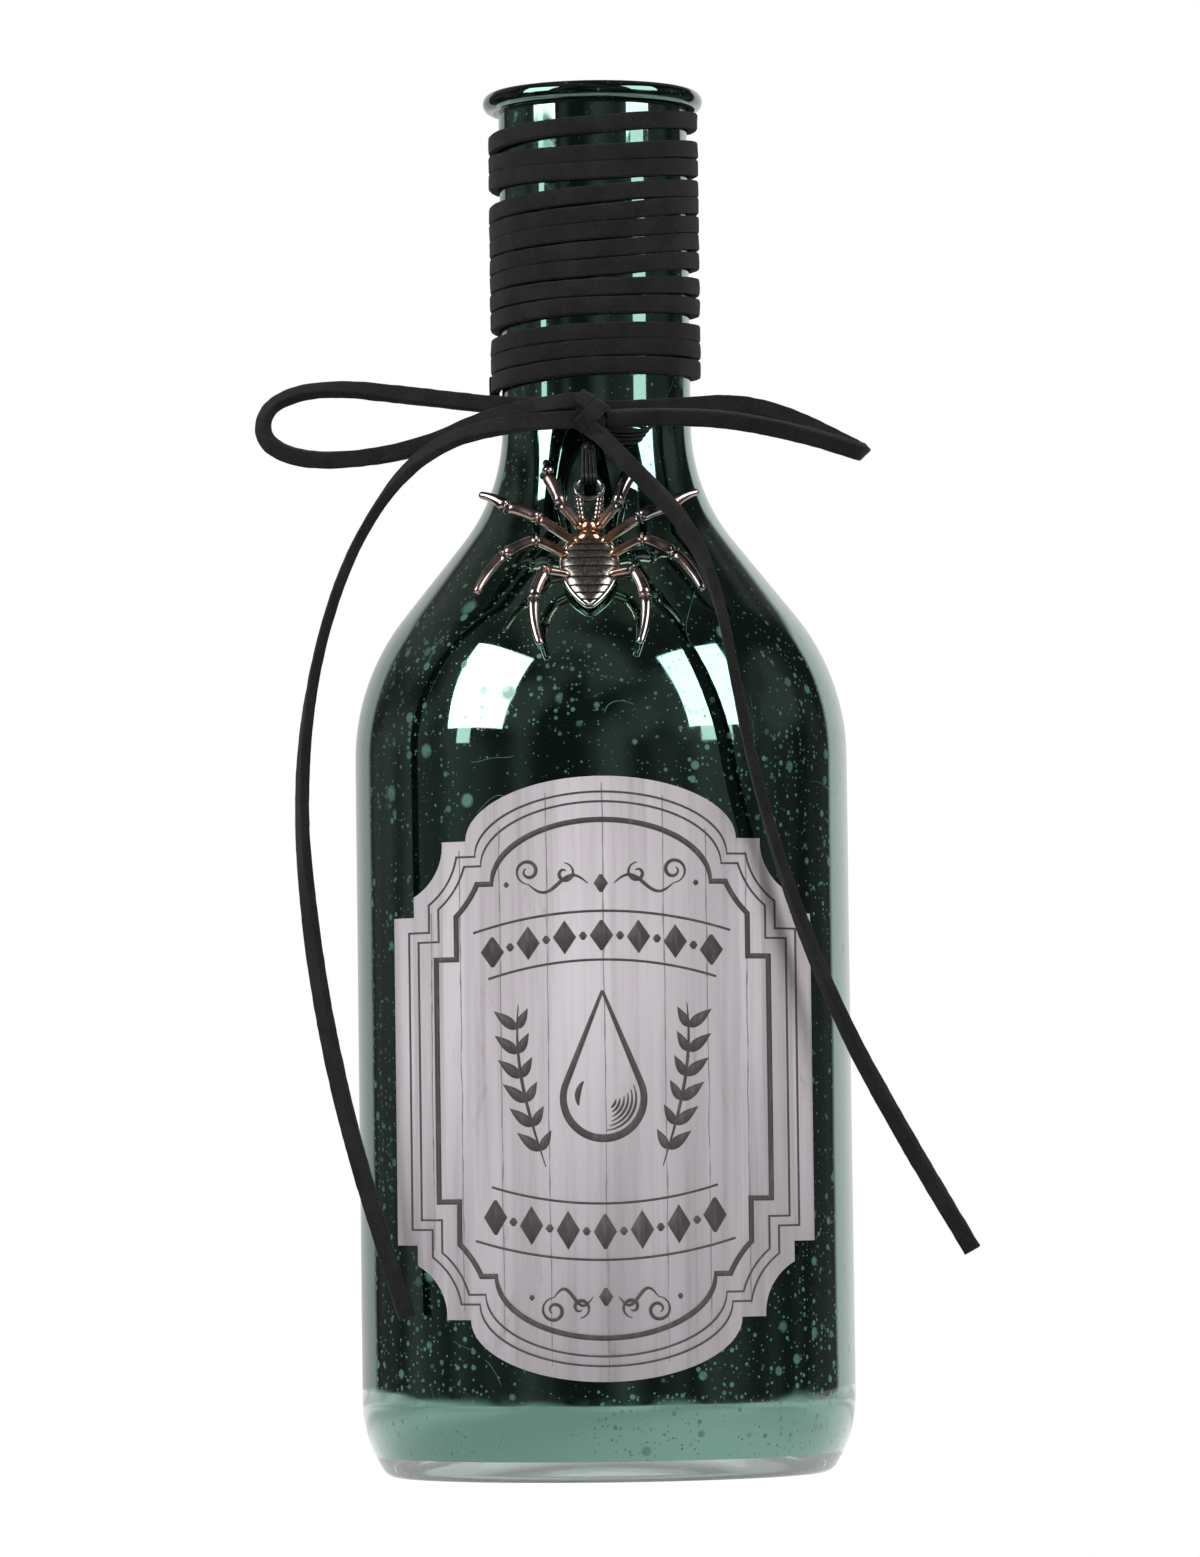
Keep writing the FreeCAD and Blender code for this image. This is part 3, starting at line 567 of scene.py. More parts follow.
def neck_winding():
    path = []
    axes = []
    for share in shares(round(WINDING_TURNS * STEPS_PER_TURN)):
        turns = WINDING_TURNS * share
        outward = level_spoke(WINDING_START - math.tau * turns)
        height = turn_height(turns) + WANDER * unsteady(outward, turns, 1.5)
        radius = WINDING_RADIUS + SLACK * abs(unsteady(outward, turns, 2.0, shift=40))
        path.append(outward * radius + UP * height)
        axes.append(UP + outward * LEAN * unsteady(outward, turns, 1.2, pace=0.7, shift=9))
    dress(piece("lace_winding", [skin(lace(path, axes))], SUEDE), "lace", "bottle", "lace_winding")
    print("winding holds", round(route_length(path) / MM), "mm of lace")
    return path


winding_path = neck_winding()

# %% [markdown]
# ## The fold and the lead
#
# On the left the lace is folded back on itself and runs under the winding to the knot. A bent strip could
# be modelled flat and deformed. A fold in a flat strip is only a tight turn in the strip's own plane, so the
# same rings do, with a width axis that stays in the plane of the turn.

# %% Lead
LEAD_HEIGHT = 169.9 * MM
LEAD_END_HEIGHT = 167.3 * MM
LEAD_TURN = math.radians(83)
FOLD_OUTSET = 0.3 * MM
FOLD_STEPS = 14
LEAD_STEPS = 26


def lace_lead():
    top = winding_path[-1]
    fold_radius = (top.z - LEAD_HEIGHT) / 2
    middle = Vector((top.x - FOLD_OUTSET, top.y, LEAD_HEIGHT + fold_radius))
    path = []
    axes = []
    for share in shares(FOLD_STEPS):
        angle = math.pi * (0.5 - share)
        spoke = BACK * math.cos(angle) + UP * math.sin(angle)
        path.append(middle + spoke * fold_radius)
        axes.append(spoke)
    for share in shares(LEAD_STEPS)[1:]:
        radius = -middle.x + (WINDING_RADIUS + middle.x) * share
        height = LEAD_HEIGHT + (LEAD_END_HEIGHT - LEAD_HEIGHT) * share
        path.append(level_spoke(math.pi + LEAD_TURN * share) * radius + UP * height)
        axes.append(-UP)
    dress(piece("lace_lead", [skin(lace(path, axes))], SUEDE), "lace", "bottle", "lace_lead")


lace_lead()

# %% [markdown]
# ## The knot
#
# The knot is the same lace drawn round the middle of the bow, so what shows is a short band that leans down
# to the left. It could be a sculpted lump. A lace that winds nearly twice round a leaning core shows its own
# edges and the dark seam between its turns.

# %% Knot
KNOT_LEAN = math.radians(34)
KNOT_TURNS = 1.9
KNOT_STEPS = 72
KNOT_BAND_RADIUS = 2.35 * MM
KNOT_BAND_PITCH = 2.5 * MM
KNOT_BAND_WIDTH = 0.95 * LACE_WIDTH
KNOT_BAND_THICKNESS = 0.85 * LACE_THICKNESS
KNOT_CORE_RADIUS = 1.75 * MM
KNOT_CORE_HALF = 2.5 * MM


def lace_knot():
    axis = Vector((math.cos(KNOT_LEAN), 0, -math.sin(KNOT_LEAN)))
    side = axis.cross(BACK)
    path = []
    for share in shares(KNOT_STEPS):
        turns = KNOT_TURNS * (share - 0.5)
        angle = math.tau * turns - math.pi / 2
        spoke = BACK * math.sin(angle) + side * math.cos(angle)
        path.append(KNOT + spoke * KNOT_BAND_RADIUS + axis * KNOT_BAND_PITCH * turns)
    band = skin(lace(path, [axis] * len(path), KNOT_BAND_WIDTH, KNOT_BAND_THICKNESS))
    core_path = [KNOT + axis * KNOT_CORE_HALF * (2 * share - 1) for share in shares(4)]
    core = skin(round_tube(core_path, KNOT_CORE_RADIUS, 24))
    dress(piece("lace_knot", [band, core], SUEDE), "lace", "bottle", "lace_knot")


lace_knot()

# %% [markdown]
# ## Silvered glass
#
# The bottle is green glass with a mirror coat inside. From outside that is a green mirror under a clear
# glass surface. One way is a real glass shell with a mirror inside it, which renders slowly and grainily.
# A metallic shader with a clear coat looks the same from outside. Specks and hairlines where the mirror has
# worn away are cells of a Voronoi texture and thin slices of noise: there the surface stops being metal and
# shows dull teal glass.

# %% Worn places
# Cells in a metre, share of the cells that hold a speck, and a speck's radius as a share of its cell
LONE_SPECKS = (150, 0.40, 0.25)
CROWDED_SPECKS = ((340, 0.55, 0.32), (780, 0.70, 0.38), (1500, 0.60, 0.40))
SPECK_SHARPNESS = 11.0
FAINTEST_SPECK = 0.40
# Grain, width and rarity of the hairlines
HAIRLINES = (34, 0.0012, 0.60)
# Distances from the middle and heights between which wear grows, and how much it adds
SIDE_WEAR = (12.0 * MM, 34.0 * MM, 0.0, 0.10)
FOOT_WEAR = (4.0 * MM, 50.0 * MM, 0.07, 0.0)
CROWD_GRAIN = 48
THINNEST_CROWD = 0.50
CLOUD_GRAIN = 420


def specks(finish, cells_in_metre, share, radius, crowd=1.0):
    """Mask of round specks that differ in size and strength. A crowd mask thins them out."""
    cells = finish.add("TexVoronoi", finish.place)
    cells.inputs["Scale"].default_value = cells_in_metre
    size, strength = finish.add("SeparateColor", cells.outputs["Color"]).outputs[:2]
    reach = finish.math("MULTIPLY", finish.span(size, 1.0 - share, 1.0, 0.0, radius), crowd)
    inside = finish.math("SUBTRACT", reach, cells.outputs["Distance"])
    spot = finish.math("MULTIPLY", inside, SPECK_SHARPNESS, clamp=True)
    return finish.math("MULTIPLY", spot, finish.span(strength, 0.0, 1.0, FAINTEST_SPECK, 1.0))


def hairlines(finish, grain, width, rarity):
    """Mask of fine curved scratches, left only in a few places."""
    wave = finish.noise(grain, 1.0, 0.4, distortion=0.6)
    slice_of_wave = finish.math("ABSOLUTE", finish.math("SUBTRACT", wave, 0.5))
    thin = finish.span(slice_of_wave, 0.0, width, 1.0, 0.0)
    here = finish.span(finish.noise(grain * 3.7, 0.0), rarity, rarity + 0.03)
    return finish.math("MULTIPLY", thin, here)


def worn_places(finish, axes, cloud):
    """Mask of all wear. It gathers in clouds, towards the sides and towards the foot."""
    sides = finish.span(finish.math("ABSOLUTE", axes["X"]), *SIDE_WEAR)
    foot = finish.span(axes["Z"], *FOOT_WEAR)
    gather = finish.math("ADD", finish.math("ADD", finish.noise(CROWD_GRAIN, 2.0), sides), foot)
    crowd = finish.span(gather, 0.40, 0.66, THINNEST_CROWD, 1.0)
    masks = [specks(finish, *numbers, crowd) for numbers in CROWDED_SPECKS]
    masks.append(hairlines(finish, *HAIRLINES))
    worn = specks(finish, *LONE_SPECKS)
    for mask in masks:
        worn = finish.math("MAXIMUM", worn, mask)
    return finish.math("MULTIPLY", worn, finish.span(cloud, 0.25, 0.6, 0.4, 0.95))


print(len(CROWDED_SPECKS) + 1, "sizes of specks")

# %% Glass finishes
MIRROR_GREEN = (0.155, 0.320, 0.255)
# Painted shade: the mirror green at half strength, for the lip
LIP_PAINTED_SHADE = (0.070, 0.150, 0.120)
BARE_TEAL = (0.058, 0.185, 0.142)
# Painted shade: the bare teal made darker, for the foot
BARE_PAINTED_SHADE = (0.020, 0.066, 0.052)
FOOT_PALE = (0.92, 0.95, 0.95)
FOOT_DULL = (0.74, 0.82, 0.80)
LINING_DARK = (0.20, 0.23, 0.21)
LINING_PALE = (0.42, 0.46, 0.43)
# Heights over which the bare glass takes its painted shade of the foot
FOOT_PAINTED_SHADE_HEIGHTS = (7.0 * MM, 14.0 * MM)
# Heights over which the mirror takes its painted shade of the lip
LIP_PAINTED_SHADE_HEIGHTS = (215.8 * MM, 217.2 * MM)
WORN_ROUGHNESS = 0.35
GLASS_WAVE = 0.6 * MM


def silvered_glass():
    finish = Finish("silvered_glass", Coat_Weight=1.0, Coat_Roughness=0.02, Coat_IOR=1.5)
    axes = finish.axes()
    cloud = finish.noise(CLOUD_GRAIN, 4.0)
    worn = worn_places(finish, axes, cloud)
    # Painted shade: the bare glass grows darker towards the foot, where less light reaches it
    bare = finish.blend(finish.span(axes["Z"], *FOOT_PAINTED_SHADE_HEIGHTS), BARE_PAINTED_SHADE, BARE_TEAL)
    # Painted shade: the mirror colour darkens at the lip, so that the lip reflects less light
    mirror = finish.blend(finish.span(axes["Z"], *LIP_PAINTED_SHADE_HEIGHTS), MIRROR_GREEN, LIP_PAINTED_SHADE)
    finish.feed("Base Color", finish.blend(worn, mirror, bare))
    finish.feed("Metallic", finish.math("SUBTRACT", 1.0, worn))
    dulled = finish.span(cloud, 0.3, 0.75, 0.02, 0.07)
    finish.feed("Roughness", finish.math("ADD", dulled, finish.math("MULTIPLY", worn, WORN_ROUGHNESS)))
    finish.bump(finish.noise(60, 1.0), GLASS_WAVE, 0.25)
    return finish.material


def clear_glass():
    finish = Finish("clear_foot_glass", Transmission_Weight=0.65, IOR=1.5)
    finish.feed("Base Color", finish.blend(finish.noise(900, 2.0), FOOT_DULL, FOOT_PALE))
    finish.feed("Roughness", finish.span(finish.noise(240), 0.4, 0.7, 0.01, 0.08))
    return finish.material


MIRROR = silvered_glass()
CLEAR = clear_glass()
LINING = mottled_metal("mirror_lining", 160, 4.0, LINING_DARK, LINING_PALE, (0.12, 0.35))
print("finishes:", MIRROR.name, CLEAR.name, LINING.name)

# %% [markdown]
# ## The bottle's form
#
# A bottle is a turned shape, so its outline is drawn once, from the middle of the foot up over the lip and
# down the inside, and carried round the axis. A Spin or a Screw modifier would turn it too, but perfectly.
# Blown glass is never quite true: a slow ripple of a few hundredths of a millimetre is enough to make the
# reflections wander.

# %% Outline of the glass
BODY_RADIUS = 39.0 * MM
OVERALL_HEIGHT = cad_high.z
WALL = 3.0 * MM
BASE = 6.0 * MM
PUNT_DEPTH = 4.0 * MM
FOOT_ROUNDING = 2.5 * MM
FOOT_RING = 3.7 * MM
HEEL_RADIUS = 20.0 * MM
HEEL_HEIGHT = 12.0 * MM
INNER_HEEL = 9.0 * MM
SHOULDER_HEIGHT = 113.2 * MM
SHOULDER_RADIUS = 36.0 * MM
SHOULDER_ANGLE = math.radians(38.7)
ROOT_RADIUS = 30.0 * MM
LIP_RADIUS = 17.5 * MM
LIP_HEIGHT = 3.1 * MM
MOUTH_ROUNDING = 1.0 * MM
QUARTER = math.pi / 2


def sweep(centre, radius, start, end, steps):
    """Points on an arc of the outline, as (distance from the axis, height)."""
    return [about(centre, radius, start + (end - start) * share) for share in shares(steps)]


def cap(edge, low, rise, steps):
    """Points on a shallow dome of the outline, from its top to its edge."""
    radius = (edge**2 + rise**2) / (2 * rise)
    return sweep((0.0, low + rise - radius), radius, QUARTER, QUARTER - math.asin(edge / radius), steps)


def upright(distance, low, high, steps):
    """Points on a straight wall, without its ends."""
    return [(distance, low + (high - low) * share) for share in shares(steps)[1:-1]]


def bottle_outline():
    """Outer outline and inner outline of the glass, both from the bottom up."""
    heel_centre = (BODY_RADIUS - HEEL_RADIUS, HEEL_HEIGHT)
    reach = HEEL_RADIUS - FOOT_ROUNDING
    fall = math.asin((HEEL_HEIGHT - FOOT_ROUNDING) / reach)
    foot_centre = (heel_centre[0] + reach * math.cos(fall), FOOT_ROUNDING)
    shoulder_centre = (BODY_RADIUS - SHOULDER_RADIUS, SHOULDER_HEIGHT)
    slope_low = shoulder_centre[0] + SHOULDER_RADIUS * math.cos(SHOULDER_ANGLE)
    slope_high = NECK_RADIUS + ROOT_RADIUS * (1 - math.cos(SHOULDER_ANGLE))
    slope_rise = (slope_low - slope_high) / math.tan(SHOULDER_ANGLE)
    arcs_rise = (SHOULDER_RADIUS + ROOT_RADIUS) * math.sin(SHOULDER_ANGLE)
    root_centre = (NECK_RADIUS + ROOT_RADIUS, SHOULDER_HEIGHT + arcs_rise + slope_rise)
    lip_rounding = LIP_HEIGHT / 2
    lip_centre = (LIP_RADIUS - lip_rounding, OVERALL_HEIGHT - lip_rounding)
    lip_underside = OVERALL_HEIGHT - LIP_HEIGHT
    turn = math.pi + SHOULDER_ANGLE

    outer = cap(foot_centre[0] - FOOT_RING, 0.0, PUNT_DEPTH, 10)
    outer += sweep(foot_centre, FOOT_ROUNDING, -QUARTER, -fall, 8)
    outer += sweep(heel_centre, HEEL_RADIUS, -fall, 0.0, 14)[1:]
    outer += upright(BODY_RADIUS, HEEL_HEIGHT, SHOULDER_HEIGHT, 40)
    outer += sweep(shoulder_centre, SHOULDER_RADIUS, 0.0, SHOULDER_ANGLE, 24)
    outer += sweep(root_centre, ROOT_RADIUS, turn, math.pi, 20)
    outer += upright(NECK_RADIUS, root_centre[1], lip_underside, 16)
    outer += [(NECK_RADIUS, lip_underside)]
    outer += sweep(lip_centre, lip_rounding, -QUARTER, QUARTER, 14)

    bore = NECK_RADIUS - WALL
    floor_radius = BODY_RADIUS - WALL - INNER_HEEL
    mouth_centre = (bore + MOUTH_ROUNDING, OVERALL_HEIGHT - MOUTH_ROUNDING)
    inner = cap(floor_radius, BASE, PUNT_DEPTH, 8)
    inner += sweep((floor_radius, BASE + INNER_HEEL), INNER_HEEL, -QUARTER, 0.0, 8)[1:]
    inner += sweep(shoulder_centre, SHOULDER_RADIUS - WALL, 0.0, SHOULDER_ANGLE, 12)
    inner += sweep(root_centre, ROOT_RADIUS + WALL, turn, math.pi, 12)
    inner += sweep(mouth_centre, MOUTH_ROUNDING, math.pi, QUARTER, 6)
    return outer, inner


outer_outline, inner_outline = bottle_outline()
print("outline of", len(outer_outline), "points outside and", len(inner_outline), "inside")

# %% Bottle
BOTTLE_SIDES = 240
RIPPLE = 0.035 * MM
RIPPLE_FADE = 20.0 * MM
RIPPLE_GRAIN = 38
FINE_RIPPLE_GRAIN = 90
CLEAR_FOOT_HEIGHT = 3.0 * MM
MIRROR_SLOT, CLEAR_SLOT, LINING_SLOT = range(3)


def ripple(place):
    """Small wave of blown glass, fading out at the foot and the lip."""
    fade = min(place.z / RIPPLE_FADE, (OVERALL_HEIGHT - place.z) / RIPPLE_FADE, 1.0)
    wave = noise.noise(place * RIPPLE_GRAIN) + 0.5 * noise.noise(place * FINE_RIPPLE_GRAIN)
    return RIPPLE * wave * max(fade, 0.0)


def turned_ring(distance, height, wavy):
    ring = []
    for angle in around(BOTTLE_SIDES):
        outward = level_spoke(angle)
        place = outward * distance + UP * height
        ring.append(place + outward * ripple(place) if wavy else place)
    return ring


def glass_slot(middle, normal):
    """Finish of a face: clear at the foot and under the punt, lined inside, mirrored elsewhere."""
    distance = math.hypot(middle.x, middle.y)
    under_punt = normal.z < 0 and middle.z < BASE and distance < BODY_RADIUS / 2
    if middle.z < CLEAR_FOOT_HEIGHT or under_punt:
        return CLEAR_SLOT
    faces_in = middle.x * normal.x + middle.y * normal.y <= 0
    inside = BASE < middle.z < OVERALL_HEIGHT - LIP_HEIGHT / 2 and distance < BODY_RADIUS - WALL / 2
    return LINING_SLOT if faces_in and inside else MIRROR_SLOT


def bottle():
    outline = [(*point, True) for point in outer_outline[1:]]
    outline += [(*point, False) for point in reversed(inner_outline[1:])]
    glass = piece("bottle_glass", [skin([turned_ring(*point) for point in outline])], MIRROR)
    glass.data.materials.append(CLEAR)
    glass.data.materials.append(LINING)
    for face in glass.data.polygons:
        face.material_index = glass_slot(face.center, face.normal)
    dress(glass, "glass", "bottle", "bottle_glass", "bottle_neck")


bottle()

# %% [markdown]
# ## The paper label
#
# The label is one die-cut sheet, glued on, so its outline is drawn flat and wrapped round the body
# afterwards. A Shrinkwrap modifier could press it on, but a flat face bends badly, so it is first cut into
# upright strips a millimetre wide and each point is then moved to its place on the glass. The outline has a
# half ellipse above and below, and coves cut out of its corners.

# %% Outline of the label
LABEL_TOP = 46.5 * MM
ARCH_HALF_WIDTH = 20.9 * MM
ARCH_INSET_SHARE = 0.6
ARCH_STEPS = 32
EAR_HEIGHT = 36.9 * MM
COVE_MIDDLE = Vector((33.6, 36.4)) * MM
COVE_RADIUS = 9.0 * MM
COVE_STEPS = 12
STEP_HALF_WIDTH = 29.2 * MM
HALF_WIDTH = 32.4 * MM
SIDE_HALF_HEIGHT = 25.4 * MM


def flat_arc(middle, start, end, steps):
    """Points on the shorter arc about a middle, from start to end."""
    radius = (start - middle).length
    first = math.atan2(start.y - middle.y, start.x - middle.x)
    last = math.atan2(end.y - middle.y, end.x - middle.x)
    turn = (last - first + math.pi) % math.tau - math.pi
    return [Vector(about(middle, radius, first + turn * share)) for share in shares(steps)]


def other_leg(radius, offset):
    """Other leg of a right triangle that has this radius as its longest side."""
    return math.sqrt(radius**2 - offset**2)


def label_outline(inset=0.0):
    """Clockwise outline of the label about its middle, or a line that keeps some way inside it."""
    rise = LABEL_TOP - EAR_HEIGHT
    ear = EAR_HEIGHT - inset
    step = STEP_HALF_WIDTH - inset
    side = SIDE_HALF_HEIGHT - inset
    foot = ARCH_HALF_WIDTH - inset * ARCH_INSET_SHARE
    turns = [QUARTER * share for share in shares(ARCH_STEPS)]
    quarter = [Vector((foot * math.sin(turn), ear + rise * math.cos(turn))) for turn in turns]
    cove_top = Vector((COVE_MIDDLE.x - other_leg(COVE_RADIUS + inset, ear - COVE_MIDDLE.y), ear))
    cove_end = Vector((step, COVE_MIDDLE.y - other_leg(COVE_RADIUS + inset, COVE_MIDDLE.x - step)))
    quarter += flat_arc(COVE_MIDDLE, cove_top, cove_end, COVE_STEPS)
    quarter += [Vector((step, side)), Vector((HALF_WIDTH - inset, side))]
    right = quarter + [Vector((point.x, -point.y)) for point in reversed(quarter)]
    left = [Vector((-point.x, point.y)) for point in reversed(right[1:-1])]
    return right + left


print("label outline of", len(label_outline()), "points")

# %% Paper
LABEL_MIDDLE = 62.1 * MM
PAPER_THICKNESS = 0.2 * MM
PAPER_FRONT = BODY_RADIUS + 0.25 * MM
PAPER_STRIP = 1.0 * MM
PAPER_PALE = (0.580, 0.540, 0.575)
PAPER_DARK = (0.350, 0.315, 0.335)
PAPER_RELIEF = 0.03 * MM
# Grain of the printed wood in each direction
STREAK_GRAIN = (620, 200, 16)
BROAD_GRAIN = (95, 40, 9)
WOOD_KNOT_GRAIN = (210, 90, 60)


def printed_paper():
    finish = Finish("label_paper", Roughness=0.62)
    streaks = finish.noise(1.0, 5.0, 0.65, finish.stretched(*STREAK_GRAIN))
    broad = finish.noise(1.0, 3.0, 0.5, finish.stretched(*BROAD_GRAIN))
    knots = finish.noise(1.0, 4.0, 0.7, finish.stretched(*WOOD_KNOT_GRAIN), distortion=0.8)
    share = finish.math("ADD", finish.span(streaks, 0.42, 0.75, 0.0, 0.5),
                        finish.span(broad, 0.40, 0.68, 0.0, 0.45))
    share = finish.math("ADD", share, finish.span(knots, 0.60, 0.74, 0.0, 0.45), clamp=True)
    finish.feed("Base Color", finish.blend(share, PAPER_PALE, PAPER_DARK))
    finish.bump(finish.noise(1500, 2.0), PAPER_RELIEF, 0.3)
    return finish.material


def on_paper(point, lift=0.0):
    """Place on the body's front for a flat point of the label."""
    across, along = point
    return Vector((across, -other_leg(PAPER_FRONT + lift, across), LABEL_MIDDLE + along))


def thicken(sheet, thickness, offset):
    """Turn every face of a sheet to the front, and give it a thickness."""
    for face in sheet.data.polygons:
        if face.normal.y > 0:
            face.flip()
    thick = sheet.modifiers.new("thickness", "SOLIDIFY")
    thick.thickness = thickness
    thick.offset = offset


def paper_label():
    work = bmesh.new()
    work.faces.new([work.verts.new((point.x, 0.0, point.y)) for point in label_outline()])
    strips = int(HALF_WIDTH / PAPER_STRIP)
    for strip in range(-strips - 1, strips + 1):
        cut = RIGHT * PAPER_STRIP * (strip + 0.5)
        everything = work.verts[:] + work.edges[:] + work.faces[:]
        bmesh.ops.bisect_plane(work, geom=everything, plane_co=cut, plane_no=RIGHT)
    work.verts.index_update()
    points = [on_paper((vertex.co.x, vertex.co.z)) for vertex in work.verts]
    faces = [tuple(vertex.index for vertex in face.verts) for face in work.faces]
    work.free()
    paper = piece("label", [(points, faces)], printed_paper())
    thicken(paper, PAPER_THICKNESS, -1.0)
    dress(paper, "paper", "bottle", "label")


paper_label()

# %% [markdown]
# ## The print on the label
#
# Old apothecary labels have border lines that follow their outline, and the middle is filled with ornament.
# A picture could carry the print, but drawn shapes stay sharp in every view. The borders are the outline
# drawn again some way inside itself. The ornament is made of pen strokes: a line with a width that may swell
# and taper. Diamonds, dots and leaves are strokes too, only short and fat.

# %% Pen strokes
INK_LIFT = 0.012 * MM
STROKE_STEP = 0.45 * MM


def stroke(line, width):
    """Strip of ink along a line, in millimetres. The width may be a function of the share of the way."""
    dense = evenly([Vector(point) * MM for point in line], STROKE_STEP)
    edges = []
    for share, place, along in zip(shares(len(dense) - 1), dense, headings(dense)):
        half = (width(share) if callable(width) else width) / 2 * MM
        aside = Vector((-along.y, along.x)) * half
        edges += [place + aside, place - aside]
    faces = [(row, row + 1, row + 3, row + 2) for row in range(0, len(edges) - 2, 2)]
    return [on_paper(edge, INK_LIFT) for edge in edges], faces


def border(inset, width):
    """Closed border line about some inset of the outline."""
    outer = label_outline((inset - width / 2) * MM)
    inner = label_outline((inset + width / 2) * MM)
    edges = []
    for index in range(len(outer)):
        after = (index + 1) % len(outer)
        cuts = max(1, math.ceil((outer[after] - outer[index]).length / STROKE_STEP))
        for share in shares(cuts)[:-1]:
            edges.append(outer[index].lerp(outer[after], share))
            edges.append(inner[index].lerp(inner[after], share))
    count = len(edges)
    faces = [(row, row + 1, (row + 3) % count, (row + 2) % count) for row in range(0, count, 2)]
    return [on_paper(edge, INK_LIFT) for edge in edges], faces


def taper(width, least=0.25):
    """Width that swells in the middle of a stroke, from a least share at its ends."""
    return lambda share: width * (least + (1 - least) * math.sin(math.pi * share))


def blot(centre, wide, profile):
    """Short fat stroke about a centre."""
    return stroke([(centre[0] + side * wide / 2, centre[1]) for side in (-1, 1)], profile)


def diamond(centre, wide, tall):
    return blot(centre, wide, lambda share: tall * (1 - abs(2 * share - 1)))


def dot(centre, across):
    return blot(centre, across, lambda share: across * math.sqrt(max(1 - (2 * share - 1) ** 2, 0.0)))


def leaf(root, heading, length, fat):
    """Pointed leaf from its root, at a heading in degrees, fattest nearer its root."""
    tip = about(root, length, math.radians(heading))
    return stroke([root, tip], lambda share: fat * math.sin(math.pi * share**0.7))


def spiral(centre, start, turns, first, last, steps=40):
    """Line that winds in or out about a centre."""
    return [about(centre, first + (last - first) * share, math.tau * (start + turns * share))
            for share in shares(steps)]


def both_sides(line):
    """A line and its mirror image."""
    return [line, [(-across, along) for across, along in line]]


print("strokes have a point every", round(STROKE_STEP / MM, 2), "mm")

# %% Bands and drop
BAND_RADIUS = 62.0
BAND_STEP = 5.7
BAND_REACH = 19
BAND_DIAMONDS = range(-3, 4)
BAND_DIAMOND_WIDTH = 3.6
BAND_DOT = 1.3
BAND_LINE = 0.35
BAND_LINE_LIFT = 0.72
DROP_TOP = 13.5
DROP_RADIUS = 6.2
DROP_MIDDLE = -3.0
DROP_LINE = 1.2
DROP_LINE_LEAST = 0.375
DROP_HATCHES = 6
HATCH_INSET = 1.2
HATCH_STEP = 0.62
HATCH_TURNS = (5, 116)
HATCH_SHORTENING = 6
HATCH_WIDTH = 0.42
GLINT_INSET = 2.2
GLINT_TURNS = range(-130, -70, 4)
GLINT_WIDTH = 0.9


def arched_band(crown, bend, tall):
    """Diamonds and dots on an arch, between two fine lines. The bend is 1 for a hill and -1 for a bowl."""
    centre = crown - bend * BAND_RADIUS

    def spot(across, lift=0.0):
        angle = across / BAND_RADIUS
        reach = BAND_RADIUS + bend * lift
        return reach * math.sin(angle), centre + bend * reach * math.cos(angle)

    shapes = [diamond(spot(index * BAND_STEP), BAND_DIAMOND_WIDTH, tall) for index in BAND_DIAMONDS]
    shapes += [dot(spot((index + 0.5) * BAND_STEP), BAND_DOT) for index in BAND_DIAMONDS[:-1]]
    for lift in (-tall * BAND_LINE_LIFT, tall * BAND_LINE_LIFT):
        line = [spot(across, lift) for across in range(-BAND_REACH, BAND_REACH + 1)]
        shapes.append(stroke(line, BAND_LINE))
    return shapes


def drop():
    """Large drop, drawn with a swelling outline and a few shading lines."""

    def round_spot(inset, turn):
        """Point inside the drop's belly, at a turn in degrees from straight down, positive to the right."""
        return about((0.0, DROP_MIDDLE), DROP_RADIUS - inset, math.radians(turn - 90))

    tip = (0.0, DROP_TOP)
    touch = 180 - math.degrees(math.acos(DROP_RADIUS / (DROP_TOP - DROP_MIDDLE)))
    belly = [round_spot(0.0, touch * (1 - 2 * share)) for share in shares(60)]
    shapes = [stroke([tip] + belly + [tip], taper(DROP_LINE, DROP_LINE_LEAST))]
    for index in range(DROP_HATCHES):
        first, last = HATCH_TURNS
        turns = range(first + index * HATCH_SHORTENING, last - index * HATCH_SHORTENING, 3)
        hatch = [round_spot(HATCH_INSET + index * HATCH_STEP, turn) for turn in turns]
        shapes.append(stroke(hatch, taper(HATCH_WIDTH)))
    glint = [round_spot(GLINT_INSET, turn) for turn in GLINT_TURNS]
    shapes.append(stroke(glint, taper(GLINT_WIDTH)))
    return shapes


print("bands of", len(BAND_DIAMONDS), "diamonds")

# %% Sprigs, scrolls and boards
STEM_STEPS = 20
STEM_FOOT = (9.0, -13.5)
STEM_HEIGHT = 25.0
STEM_BOW = 4.2
STEM_CURVE = 1.9
STEM_WIDTH = 0.5
FIRST_LEAF = 2
LEAF_STEP = 3
# Heading on the right side, length and fatness of the outer and the inner leaf
LEAVES = ((38, 4.6, 1.7), (118, 3.6, 1.4))
SCROLL_WIDTH = 0.55
SCROLL_START = 2.0
SCROLL_WAVE = 1.3
CURL_RADII = (2.0, 0.5)
CURL_TURNS = 1.4
TWIG_RADII = (1.6, 0.4)
TWIG_TURNS = 1.1
SCROLL_DOT = 0.9
SCROLL_DOT_BEYOND = 3.4
SCROLL_DIAMOND = (2.2, 3.4)
# Place across and half height of each board's edge
BOARD_EDGES = ((-26.5, 26.0), (-21.9, 35.5), (-15.7, 39.0), (-8.4, 44.0), (0.3, 45.5), (9.6, 43.5),
               (16.2, 38.5), (22.3, 35.0))
BOARD_WANDER = 0.14
BOARD_LINE = 0.16
BOARD_LINE_SWELL = 0.14


